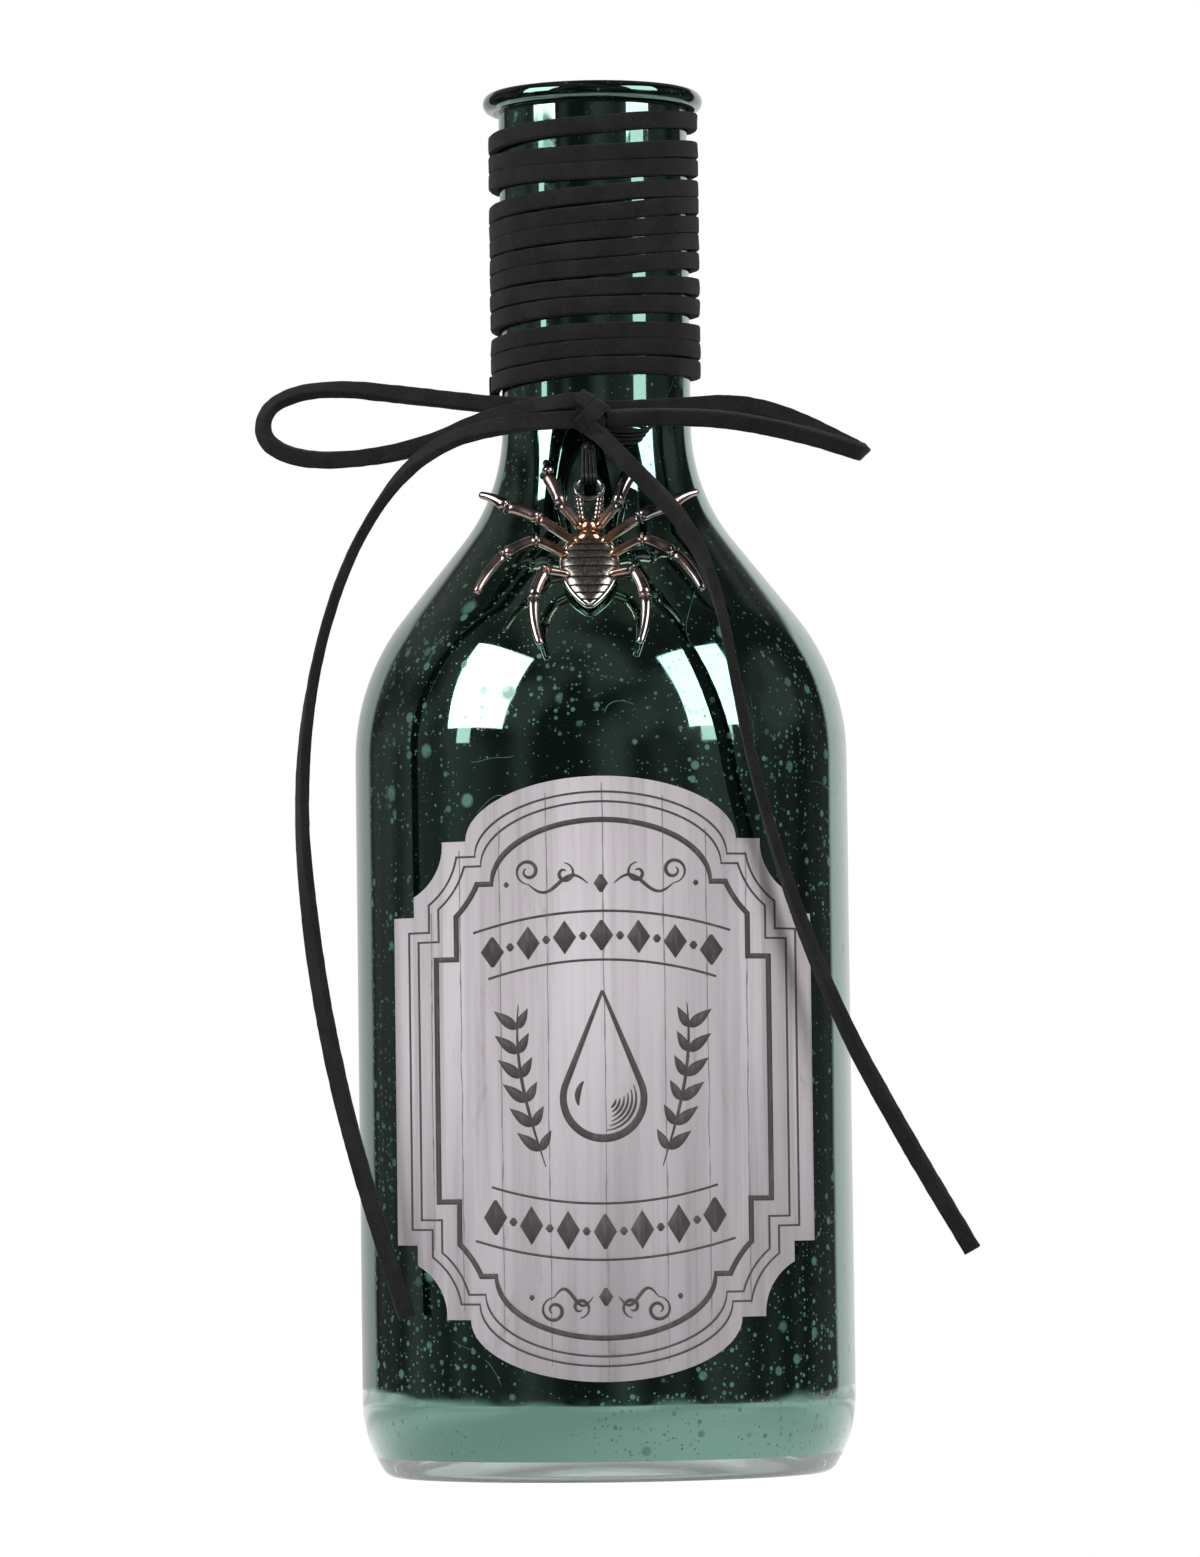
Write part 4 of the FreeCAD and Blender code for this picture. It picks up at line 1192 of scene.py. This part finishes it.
def sprigs():
    """Two leafy stems that curve up beside the drop."""
    shapes = []
    foot_across, foot_along = STEM_FOOT
    stem = [(foot_across + STEM_BOW * math.sin(STEM_CURVE * share), foot_along + STEM_HEIGHT * share)
            for share in shares(STEM_STEPS)]
    for line, side in zip(both_sides(stem), (1, -1)):
        shapes.append(stroke(line, taper(STEM_WIDTH)))
        for root in line[FIRST_LEAF:STEM_STEPS:LEAF_STEP]:
            for heading, length, fat in LEAVES:
                shapes.append(leaf(root, heading if side > 0 else 180 - heading, length, fat))
    return shapes


def scrolls(level, reach, flip):
    """Pair of scrolls that run out from a diamond in the middle."""
    stem = [(SCROLL_START + (reach - SCROLL_START) * share,
             level + flip * SCROLL_WAVE * math.sin(math.tau * share)) for share in shares(24)]
    curl = spiral((reach, level + flip * CURL_RADII[0]), -0.25 * flip, CURL_TURNS * flip, *CURL_RADII)
    twig = spiral((reach / 2, level + flip * TWIG_RADII[0]), 0.25 * flip, TWIG_TURNS * flip, *TWIG_RADII)
    lines = both_sides(stem) + both_sides(curl) + both_sides(twig)
    shapes = [stroke(line, taper(SCROLL_WIDTH)) for line in lines]
    shapes += [dot((side * (reach + SCROLL_DOT_BEYOND), level), SCROLL_DOT) for side in (1, -1)]
    return shapes + [diamond((0, level), *SCROLL_DIAMOND)]


def board_width(share):
    """Width of a board's edge, which swells and thins along the way."""
    return BOARD_LINE + BOARD_LINE_SWELL * noise.noise((share * 30, 1.0, 7.0))


def boards():
    """Upright joints of the printed boards, each a faint line with a little wander."""
    shapes = []
    for across, reach in BOARD_EDGES:
        line = []
        for share in shares(80):
            along = reach * (2 * share - 1)
            line.append((across + BOARD_WANDER * noise.noise((across, along * 0.2, 3.0)), along))
        shapes.append(stroke(line, board_width))
    return shapes


print(len(BOARD_EDGES) + 1, "printed boards")

# %% Ink
INK_DARK = (0.060, 0.051, 0.049)
INK_FADED = (0.105, 0.092, 0.090)
BOARD_DARK = (0.25, 0.22, 0.235)
BOARD_FADED = (0.42, 0.385, 0.41)
INK_GRAIN = (900, 500, 160)
INK_THICKNESS = 0.02 * MM
BOARD_THICKNESS = 0.006 * MM
# Inset and width of the three border lines, in millimetres
BORDER_LINES = ((2.4, 0.30), (3.9, 0.30), (6.7, 0.80))


def ink_finish(name, dark, faded):
    finish = Finish(name, Roughness=0.6)
    wear = finish.span(finish.noise(1.0, 4.0, 0.7, finish.stretched(*INK_GRAIN)), 0.45, 0.75)
    finish.feed("Base Color", finish.blend(wear, dark, faded))
    return finish.material


def printed(name, shapes, material, thickness):
    """Print of several shapes as one thin layer of ink."""
    layer = piece(name, shapes, material)
    thicken(layer, thickness, 1.0)
    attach(layer, "bottle")


ornament = [border(*line) for line in BORDER_LINES]
ornament += scrolls(level=30.0, reach=11.2, flip=1) + arched_band(crown=22.0, bend=1, tall=5.2)
ornament += drop() + sprigs()
ornament += arched_band(crown=-23.5, bend=-1, tall=6.0) + scrolls(level=-33.5, reach=8.0, flip=-1)
printed("label_print", ornament, ink_finish("label_ink", INK_DARK, INK_FADED), INK_THICKNESS)
board_ink = ink_finish("label_board_lines", BOARD_DARK, BOARD_FADED)
printed("label_boards", boards(), board_ink, BOARD_THICKNESS)

# %% [markdown]
# ## The spider charm
#
# The charm is a small metal casting, plated like dark nickel, with copper showing near the body. It is
# worked out in its own flat frame, across and along its back, and set down on the joint that it swings
# about. The abdomen could be sculpted. It is a domed shield, so one sheet of points whose height is a
# formula gives it, with bands that swell between its lines. The lines are thin tubes half sunk in the
# shield, dark with painted shade for the grooves between the bands. The rim is a tube too, but bright,
# because plating wears bright on what stands out.

# %% Metal finishes
COPPER = (0.70, 0.43, 0.28)
NICKEL = (0.36, 0.345, 0.345)
ROSE = (0.56, 0.40, 0.36)
BRIGHT_NICKEL = (0.66, 0.63, 0.62)
MATT_DARK = (0.30, 0.285, 0.275)
MATT_PALE = (0.50, 0.47, 0.44)
# Painted shade for the grooves between the abdomen's bands
GROOVE_SHADE_DARK = (0.025, 0.024, 0.023)
GROOVE_SHADE_PALE = (0.075, 0.070, 0.065)
COPPER_MIDDLE = (0.0, -12.5, 1.5)
COPPER_REACH = (4.0 * MM, 8.5 * MM)
TINT_GRAIN = 420
swing = joints["charm_swing"]
OUTWARD = Vector(swing["axis"]).normalized()
ALONG = OUTWARD.cross(RIGHT).normalized()
BAIL_LIFT = 0.8
CHARM_ORIGIN = Vector(swing["pos_m"]) - OUTWARD * BAIL_LIFT * MM


def on_charm(across, along, height):
    """Place for a point of the charm, in millimetres across, along and out from its back."""
    return CHARM_ORIGIN + (RIGHT * across + ALONG * along + OUTWARD * height) * MM


def coppered_plating():
    finish = Finish("charm_plating", Metallic=1.0)
    far = finish.span(finish.distance(on_charm(*COPPER_MIDDLE)), *COPPER_REACH)
    tint = finish.span(finish.noise(TINT_GRAIN, 2.0), 0.42, 0.62)
    finish.feed("Base Color", finish.blend(far, COPPER, finish.blend(tint, NICKEL, ROSE)))
    finish.feed("Roughness", finish.span(finish.noise(TINT_GRAIN, 1.0), 0.3, 0.7, 0.14, 0.26))
    return finish.material


PLATING = coppered_plating()
MATT = mottled_metal("charm_matt_plating", 1900, 4.0, MATT_DARK, MATT_PALE, (0.20, 0.34))
WORN = mottled_metal("charm_worn_plating", 700, 3.0, NICKEL, BRIGHT_NICKEL, (0.22, 0.14))
# Painted shade: the ridge lines are dark to stand for the shade in the grooves between the bands
GROOVE_SHADE = mottled_metal("charm_dark_lines", 900, 3.0, GROOVE_SHADE_DARK, GROOVE_SHADE_PALE, (0.35, 0.55))
print("finishes:", PLATING.name, MATT.name, WORN.name, GROOVE_SHADE.name)

# %% Abdomen
ABDOMEN_TOP = -10.0
ABDOMEN_LENGTH = 13.3
ABDOMEN_HALF_WIDTH = 4.35
WIDEST_AT = 0.36
TOP_NARROWING = 0.34
POINT_FULLNESS = 0.9
DOME = 1.35
BACK_HEIGHT = 0.5
UNDERSIDE = 0.05
BAND_SWELL = 0.12
BAND_FULLNESS = 0.7
LAST_ROW = 0.995
ABDOMEN_ROWS = 110
ABDOMEN_COLUMNS = 56
RIDGE_SHARES = (0.09, 0.19, 0.30, 0.42, 0.57, 0.69, 0.79, 0.88)
RIDGE_RADIUS = 0.15
RIDGE_SAG = 0.035
RIDGE_REACH = 0.94
RIM_RADIUS = 0.42
RIM_REACH = 0.99
RIM_STEPS = 60
RIM_STEP = 0.3 * MM


def abdomen_half_width(share):
    if share < WIDEST_AT:
        return ABDOMEN_HALF_WIDTH * (1 - TOP_NARROWING * ((WIDEST_AT - share) / WIDEST_AT) ** 2)
    fall = (share - WIDEST_AT) / (1 - WIDEST_AT)
    return ABDOMEN_HALF_WIDTH * max(1 - fall**2, 0.0) ** POINT_FULLNESS


def abdomen_along(share):
    return ABDOMEN_TOP - ABDOMEN_LENGTH * share


def band_swell(side, share):
    """Height of the swollen bands between the ridges, nought at each ridge."""
    level = max(share - RIDGE_SAG * (1 - side**2), 0.0)
    edges = (0.0, *RIDGE_SHARES, 1.0)
    low, high = next(pair for pair in zip(edges, edges[1:]) if level <= pair[1])
    wave = abs(math.sin(math.pi * (level - low) / (high - low)))
    return BAND_SWELL * wave**BAND_FULLNESS * (1 - side**2)


def abdomen_height(side, share):
    """Height of the shield over its back."""
    bulge = DOME * max(1 - abs(side) ** 3, 0.0) ** 0.5
    bulge *= 0.55 + 0.45 * math.sin(math.pi * min(share + 0.12, 1.0))
    return BACK_HEIGHT + bulge + band_swell(side, share)


def abdomen():
    rings = []
    sides = [2 * column - 1 for column in shares(ABDOMEN_COLUMNS)]
    for row in shares(ABDOMEN_ROWS):
        share = LAST_ROW * row
        half = abdomen_half_width(share)
        along = abdomen_along(share)
        front = [on_charm(half * side, along, abdomen_height(side, share)) for side in sides]
        back = [on_charm(half * side, along, UNDERSIDE) for side in reversed(sides)]
        rings.append(front + back)
    return skin(rings)


def ridges():
    """Lines of painted groove shade across the shield, each sagging a little in the middle."""
    parts = []
    for share in RIDGE_SHARES:
        half = abdomen_half_width(share)
        path = []
        for step in shares(24):
            side = RIDGE_REACH * (2 * step - 1)
            low = share + RIDGE_SAG * (1 - side**2)
            path.append(on_charm(half * side, abdomen_along(low), abdomen_height(side, low)))
        parts.append(skin(round_tube(path, RIDGE_RADIUS * MM)))
    return parts


def rim():
    """Bead round the shield, from one upper corner over the point to the other."""
    rows = [RIM_REACH * share for share in shares(RIM_STEPS)]
    right = [(abdomen_half_width(row), abdomen_along(row)) for row in rows]
    edge = right + [(-across, along) for across, along in reversed(right)] + right[:1]
    path = [on_charm(across, along, BACK_HEIGHT + RIM_RADIUS / 2) for across, along in edge]
    return skin(round_tube(evenly(path, RIM_STEP), RIM_RADIUS * MM, 12))


print("abdomen is", ABDOMEN_LENGTH, "mm long")

# %% [markdown]
# ## Head, palps and bail
#
# A low boss under the legs, a neck and a round head stand on the charm's back, and two beaded palps reach
# up from the head to the bail, the ring that the thread goes through. UV spheres and a torus could be
# squashed into these. Rings with a formula for their radius give the same forms in the charm's own frame.

# %% Bosses, palps and bail
# Centre, half width, half length and height of head, neck and the boss under the legs
BOSSES = (((0.0, -7.8), 1.75, 1.75, 2.3), ((0.0, -9.8), 2.3, 1.6, 1.9), ((0.0, -12.8), 3.7, 4.2, 1.2))
BOSS_FOOT = 0.1
BOSS_CROWN = 0.02
PALP_ROOT = (1.2, -6.4, 1.0)
PALP_TIP = (1.7, -1.9, 0.8)
PALP_RADIUS = 0.62
PALP_WAIST = 0.72
PALP_BEADS = 5
PALP_STEPS = 60
PALP_KNOB = (1.75, -1.5)
KNOB_RADIUS = 0.6
KNOB_HEIGHT = 1.5
BAIL_RADIUS = 2.1
BAIL_WIRE = 0.45


def boss(centre, half_width, half_length, height, rows=10, sides=28):
    """Rounded boss on the charm's back."""
    rings = []
    for row in shares(rows):
        reach = max(math.cos(QUARTER * row), BOSS_CROWN)
        level = BOSS_FOOT + height * math.sin(QUARTER * row)
        rings.append([on_charm(centre[0] + half_width * reach * math.cos(turn),
                               centre[1] + half_length * reach * math.sin(turn), level)
                      for turn in around(sides)])
    return skin(rings)


def palp(side):
    """Rod of beads with a knob at its end."""
    ends = [on_charm(side * point[0], *point[1:]) for point in (PALP_ROOT, PALP_TIP)]
    path = [ends[0].lerp(ends[1], share) for share in shares(PALP_STEPS)]
    waves = [abs(math.sin(math.pi * PALP_BEADS * share)) for share in shares(PALP_STEPS)]
    radii = [PALP_RADIUS * MM * (PALP_WAIST + (1 - PALP_WAIST) * wave) for wave in waves]
    knob = boss((side * PALP_KNOB[0], PALP_KNOB[1]), KNOB_RADIUS, KNOB_RADIUS, KNOB_HEIGHT, 6, 14)
    return [skin(round_tube(path, radii, 14)), knob]


def bail():
    """Ring of wire that the thread goes through."""
    centre = on_charm(0.0, 0.0, BAIL_LIFT)
    rings = []
    for turn in around(48):
        place = on_charm(*about((0.0, 0.0), BAIL_RADIUS, turn), BAIL_LIFT)
        outward = (place - centre).normalized()
        rings.append([place + (outward * math.cos(angle) + OUTWARD * math.sin(angle)) * BAIL_WIRE * MM
                      for angle in around(12)])
    return skin(rings, closed=True)


print("bail is", 2 * (BAIL_RADIUS + BAIL_WIRE), "mm across")

# %% [markdown]
# ## Legs
#
# Each leg has three members: a thin coxa that leaves the body, a thicker femur and a foot that tapers to a
# blunt tip. Where two members meet there is a small ring, as on a real spider. A Skin modifier would round
# the joints into one another, so each member is a tube of its own with rounded ends. The left legs mirror
# the right ones.

# %% Legs
# Root across and along, then length and heading in degrees of coxa, femur and foot
LEGS = (
    (1.3, -8.3, (5.2, 53.0), (6.5, 70.0), (3.4, 85.0)),
    (1.9, -11.3, (7.3, 36.5), (5.6, 27.0), (5.5, 36.0)),
    (3.2, -13.6, (5.6, 26.0), (5.7, -29.0), (8.0, -57.0)),
    (3.0, -17.4, (3.8, 2.0), (5.4, -70.0), (8.6, -97.0)),
)
JOINT_HEIGHTS = (1.2, 2.2, 1.9, 1.1)
# Radius at the start and end of coxa, femur and foot, and how far each bows outwards
MEMBERS = ((0.72, 0.84, 0.10), (0.96, 1.02, 0.25), (0.98, 0.62, 0.45))
ROUND_END_STEPS = 5
BLUNT_END = 0.05
KNUCKLE_RADIUS = 1.10
KNUCKLE_HALF = 0.20
# Place along a knuckle and radius there, as shares of its half length and its radius
KNUCKLE_PROFILE = ((-1.0, 0.80), (-0.7, 0.95), (0.0, 1.0), (0.7, 0.95), (1.0, 0.80))


def member(start, end, first, last, bow, side):
    """Tube with rounded ends between two joints, bowed to one side."""
    way = end - start
    unit = MM / way.length
    aside = OUTWARD.cross(way).normalized() * side
    stops = [(share + (0.5 - share) * 2 * first * unit, first + (last - first) * share)
             for share in shares(12)]
    for step in range(ROUND_END_STEPS):
        angle = QUARTER * step / ROUND_END_STEPS
        inset = (1 - math.cos(angle)) * unit
        fullness = max(math.sin(angle), BLUNT_END)
        stops += [(first * inset, first * fullness), (1 - last * inset, last * fullness)]
    stops.sort()
    path = [start + way * share + aside * bow * MM * 4 * share * (1 - share) for share, _ in stops]
    return skin(round_tube(path, [radius * MM for _, radius in stops], 16))


def knuckle(place, way):
    """Small ring round a joint."""
    along = way.normalized() * KNUCKLE_HALF * MM
    path = [place + along * share for share, _ in KNUCKLE_PROFILE]
    return skin(round_tube(path, [KNUCKLE_RADIUS * MM * share for _, share in KNUCKLE_PROFILE], 18))


def leg(side, root_across, root_along, *members):
    spots = [(root_across, root_along)]
    for length, heading in members:
        spots.append(about(spots[-1], length, math.radians(heading)))
    places = [on_charm(side * across, along, height)
              for (across, along), height in zip(spots, JOINT_HEIGHTS)]
    parts = [member(*ends, *shape, side) for ends, shape in zip(zip(places, places[1:]), MEMBERS)]
    for before, place, after in zip(places, places[1:], places[2:]):
        parts.append(knuckle(place, after - before))
    return parts


def spider_charm():
    parts = [boss(*numbers) for numbers in BOSSES]
    for side in (1, -1):
        parts += palp(side)
        for numbers in LEGS:
            parts += leg(side, *numbers)
    dress(piece("spider_charm", parts, PLATING), "charm_metal", "charm", "spider_charm")
    dress(piece("spider_body", [abdomen(), bail()], MATT), "charm_metal", "charm")
    dress(piece("spider_rim", [rim()], WORN), "charm_metal", "charm")
    dress(piece("spider_ridges", ridges(), GROOVE_SHADE), "charm_metal", "charm")


spider_charm()

# %% [markdown]
# ## The thread
#
# Shiny black thread is tied under the knot and doubled through the bail, and its spare ends are tucked
# beside the knot. A bundle could be one thick cord with a striped texture, but the strands show apart, so
# each is a thin tube of its own. The part that hangs turns with the thread's joint, the tucked ends stay
# with the bottle.

# %% Thread
THREAD_DARK = (0.006, 0.006, 0.007)
THREAD_PALE = (0.022, 0.022, 0.024)
THREAD_GRAIN = (1500, 1500, 900)
THREAD_RELIEF = 0.1 * MM
THREAD_RADIUS = 0.30 * MM
THREAD_CLEARANCE = 0.02 * MM
THREAD_STEP = 0.3 * MM
TIE = Vector(joints["charm_lift"]["pos_m"])
TIE_RADIUS = 1.15 * MM
TIE_POLE = 0.03
TIE_FRONT = 0.5
TIE_BACK = 0.4
# Sideways places of the doubled strands, at the tie and at the bail, in millimetres
BIGHTS = ((-0.75, -0.95), (-0.25, -0.30), (0.30, 0.35), (0.80, 0.95))


def thread_finish():
    finish = Finish("shiny_thread", Roughness=0.32)
    lay = finish.noise(1.0, 2.0, 0.5, finish.stretched(*THREAD_GRAIN))
    finish.feed("Base Color", finish.blend(lay, THREAD_DARK, THREAD_PALE))
    finish.bump(lay, THREAD_RELIEF, 0.6)
    return finish.material


def bight(at_tie, at_bail):
    """Strand that goes down before the bail's wire, round under it and up behind."""
    wire = on_charm(at_bail, BAIL_RADIUS, BAIL_LIFT)
    reach = BAIL_WIRE * MM + THREAD_RADIUS + THREAD_CLEARANCE
    top = TIE + RIGHT * at_tie * MM
    path = [top - BACK * TIE_FRONT * MM]
    for share in shares(12):
        angle = math.pi * share
        path.append(wire + (OUTWARD * math.cos(angle) - ALONG * math.sin(angle)) * reach)
    path.append(top + BACK * TIE_BACK * MM)
    return skin(round_tube(evenly(path, THREAD_STEP), THREAD_RADIUS))


def tie():
    """Ball of the tied thread."""
    rings = []
    for share in shares(12):
        angle = math.pi * share - QUARTER
        middle = TIE + UP * TIE_RADIUS * math.sin(angle)
        reach = max(math.cos(angle), TIE_POLE) * TIE_RADIUS
        rings.append([middle + level_spoke(turn) * reach for turn in around(20)])
    return skin(rings)


THREAD = thread_finish()
hanger = piece("hanger_thread", [tie()] + [bight(*places) for places in BIGHTS], THREAD)
dress(hanger, "thread", "thread", "hanger_thread")

# %% Loose ends
LOOSE_LEVELS = (-0.9, -0.2, 0.5, 1.1)
LOOSE_SPREAD = 0.9
LOOSE_MIDDLE = -2.4
LOOSE_TURN = 1.7 * math.pi
LOOSE_START = 0.9
LOOSE_RADIUS = 3.1
LOOSE_RADIUS_STEP = 0.25
LOOSE_RISE = 0.8
LOOSE_DEPTH = -16.4
LOOSE_DEPTH_STEP = 0.35
LOOSE_BEND = 0.020


def loose_end(index, level):
    """One flat loop of spare thread that lies near the neck."""
    path = []
    for share in shares(40):
        angle = LOOSE_TURN * (share - 0.5)
        across = LOOSE_START + (LOOSE_RADIUS + LOOSE_RADIUS_STEP * index) * (1 + math.cos(angle))
        depth = LOOSE_DEPTH - LOOSE_DEPTH_STEP * index + LOOSE_BEND * across**2
        height = LOOSE_MIDDLE + level * LOOSE_SPREAD + LOOSE_RISE * math.sin(angle)
        path.append(Vector((across, depth, height)) * MM + UP * KNOT.z)
    return skin(round_tube(path, THREAD_RADIUS))


loose_ends = [loose_end(index, level) for index, level in enumerate(LOOSE_LEVELS)]
dress(piece("thread_ends", loose_ends, THREAD), "thread", "bottle")

# %% [markdown]
# ## Studio
#
# The bottle stands on a white table before a white backdrop, between two soft boxes, in a room that is dark
# on the camera's side. A mirror shows all of that: pale bands down its edges, dark in the middle, two bright
# panes on the shoulder. A picture of a room could light the world, but a few nodes give the same bands. The
# backdrop is the world's colour. Camera rays always see white, mirror rays see white behind and dark in
# front, and the rest is a plain soft fill.

# %% World
BACKDROP_LEAN = 0.03
BACKDROP_EDGE = (0.70, 0.76)
BACKDROP_TOP = (0.38, 0.46)
BACKDROP_SIDES = (-0.6, 0.4)
BACKDROP_LEVELS = (0.42, 0.70)
ROOM_GRAIN = 2.1
DARK_ROOM = (0.020, 0.020, 0.019)
LIT_ROOM = (0.105, 0.092, 0.092)
FILL = (0.42, 0.42, 0.42)
WHITE = (1.0, 1.0, 1.0)


def studio_world():
    scene.world = bpy.data.worlds.new("studio")
    scene.world.use_nodes = True
    wires = Wiring(scene.world.node_tree, "Generated")
    way = wires.axes()
    behind = wires.span(wires.math("MULTIPLY_ADD", way["X"], BACKDROP_LEAN, way["Y"]), *BACKDROP_EDGE)
    below = wires.span(way["Z"], *BACKDROP_TOP, 1.0, 0.0)
    level = wires.span(way["X"], *BACKDROP_SIDES, *BACKDROP_LEVELS)
    backdrop = wires.math("MULTIPLY", wires.math("MULTIPLY", behind, below), level)
    room = wires.blend(wires.span(wires.noise(ROOM_GRAIN, 1.0), 0.36, 0.66), DARK_ROOM, LIT_ROOM)
    mirrored = wires.blend(backdrop, room, WHITE)
    unseen = wires.blend(wires.ray("Glossy", "Transmission"), FILL, mirrored)
    seen = wires.blend(wires.ray("Camera"), unseen, WHITE)
    wires.put(wires.nodes["Background"].inputs["Color"], seen)


studio_world()
print("world:", scene.world.name)

# %% Table
TABLE_RADIUS = 0.37
TABLE_MIDDLE = BACK * 0.10
TABLE_GREY = (0.8, 0.8, 0.8, 1)
TABLE_GLOW = 0.85
TABLE_STRENGTH = 1.12
TABLE_MIRRORED = 0.92
TABLE_EDGE = (0.82 * TABLE_RADIUS, TABLE_RADIUS)
TABLE_FRONT_TO_BACK = (-0.06, 0.04)
# Grain and levels of the painted pools of light in the table's glow
LIGHT_POOL_GRAIN = 7.0
LIGHT_POOL_LEVELS = (0.72, 1.08)


def white_table():
    """Round table top: white to the camera, pale in mirrors, and it still takes a soft shadow."""
    finish = Finish("white_table", Base_Color=TABLE_GREY, Roughness=0.9, Specular_IOR_Level=0.0)
    fading = finish.span(finish.distance((0, 0, 0)), *TABLE_EDGE, TABLE_MIRRORED, 0.0)
    behind = finish.span(finish.axes()["Y"], *TABLE_FRONT_TO_BACK, 0.0, TABLE_MIRRORED)
    # Painted pools of light: the table's glow in mirrors is brighter in some places than in others
    light_pools = finish.span(finish.noise(LIGHT_POOL_GRAIN, 1.0), 0.35, 0.65, *LIGHT_POOL_LEVELS)
    pale = finish.math("MULTIPLY", finish.math("MAXIMUM", fading, behind), light_pools)
    mirrored = finish.math("MULTIPLY", finish.ray("Glossy", "Transmission"), pale)
    seen = finish.math("MULTIPLY", finish.ray("Camera"), TABLE_STRENGTH)
    glow = finish.nodes.new("ShaderNodeEmission")
    finish.put(glow.inputs["Strength"], finish.math("ADD", seen, mirrored))
    share = finish.math("MULTIPLY", finish.ray("Camera", "Glossy", "Transmission"), TABLE_GLOW)
    mix = finish.add("MixShader", share, finish.shader.outputs[0], glow.outputs[0])
    finish.put(finish.nodes["Material Output"].inputs["Surface"], mix.outputs[0])
    bpy.ops.mesh.primitive_circle_add(vertices=128, radius=TABLE_RADIUS, fill_type="NGON",
                                      location=TABLE_MIDDLE)
    table = bpy.context.object
    table.name = "table_top"
    table.data.materials.append(finish.material)
    print("table", 2 * TABLE_RADIUS, "m across")


white_table()

# %% [markdown]
# ## Soft boxes
#
# Each soft box is an area light, which shows in the mirror as a bright pane. A glowing plane would show too,
# but an area light gives less grain. The upright neck mirrors only what is nearly level, below the boxes, so
# a small dim light hangs under each of them as its skirt. The streaks on the neck come from these.

# %% Soft boxes
BOX_DISTANCE = 1.25
LEFT_RADIANCE = 5.9
RIGHT_RADIANCE = 4.6
SKIRT_RADIANCE = 2.0
AIM = Vector((0, 0, 0.1))
# Angle round from the camera's side and height angle, in degrees, then width and height, in metres,
# and radiance
SOFT_BOXES = {
    "left_box": (-61, 30.5, 0.68, 0.80, LEFT_RADIANCE),
    "right_box": (57, 30.5, 0.68, 0.80, RIGHT_RADIANCE),
    "left_box_skirt": (-66, 9.8, 0.16, 0.15, SKIRT_RADIANCE),
    "right_box_skirt": (56, 9.8, 0.36, 0.15, SKIRT_RADIANCE),
}


def soft_box(name, azimuth, elevation, width, height, radiance):
    tilt = math.radians(elevation)
    away = level_spoke(math.radians(azimuth - 90)) * math.cos(tilt) + UP * math.sin(tilt)
    data = bpy.data.lights.new(name, "AREA")
    data.shape = "RECTANGLE"
    data.size = width
    data.size_y = height
    data.energy = radiance * math.pi * width * height
    lamp = bpy.data.objects.new(name, data)
    lamp.location = AIM + away * BOX_DISTANCE
    lamp.rotation_euler = away.to_track_quat("Z", "Y").to_euler()
    scene.collection.objects.link(lamp)


for box_name, numbers in SOFT_BOXES.items():
    soft_box(box_name, *numbers)
print(len(SOFT_BOXES), "soft boxes")
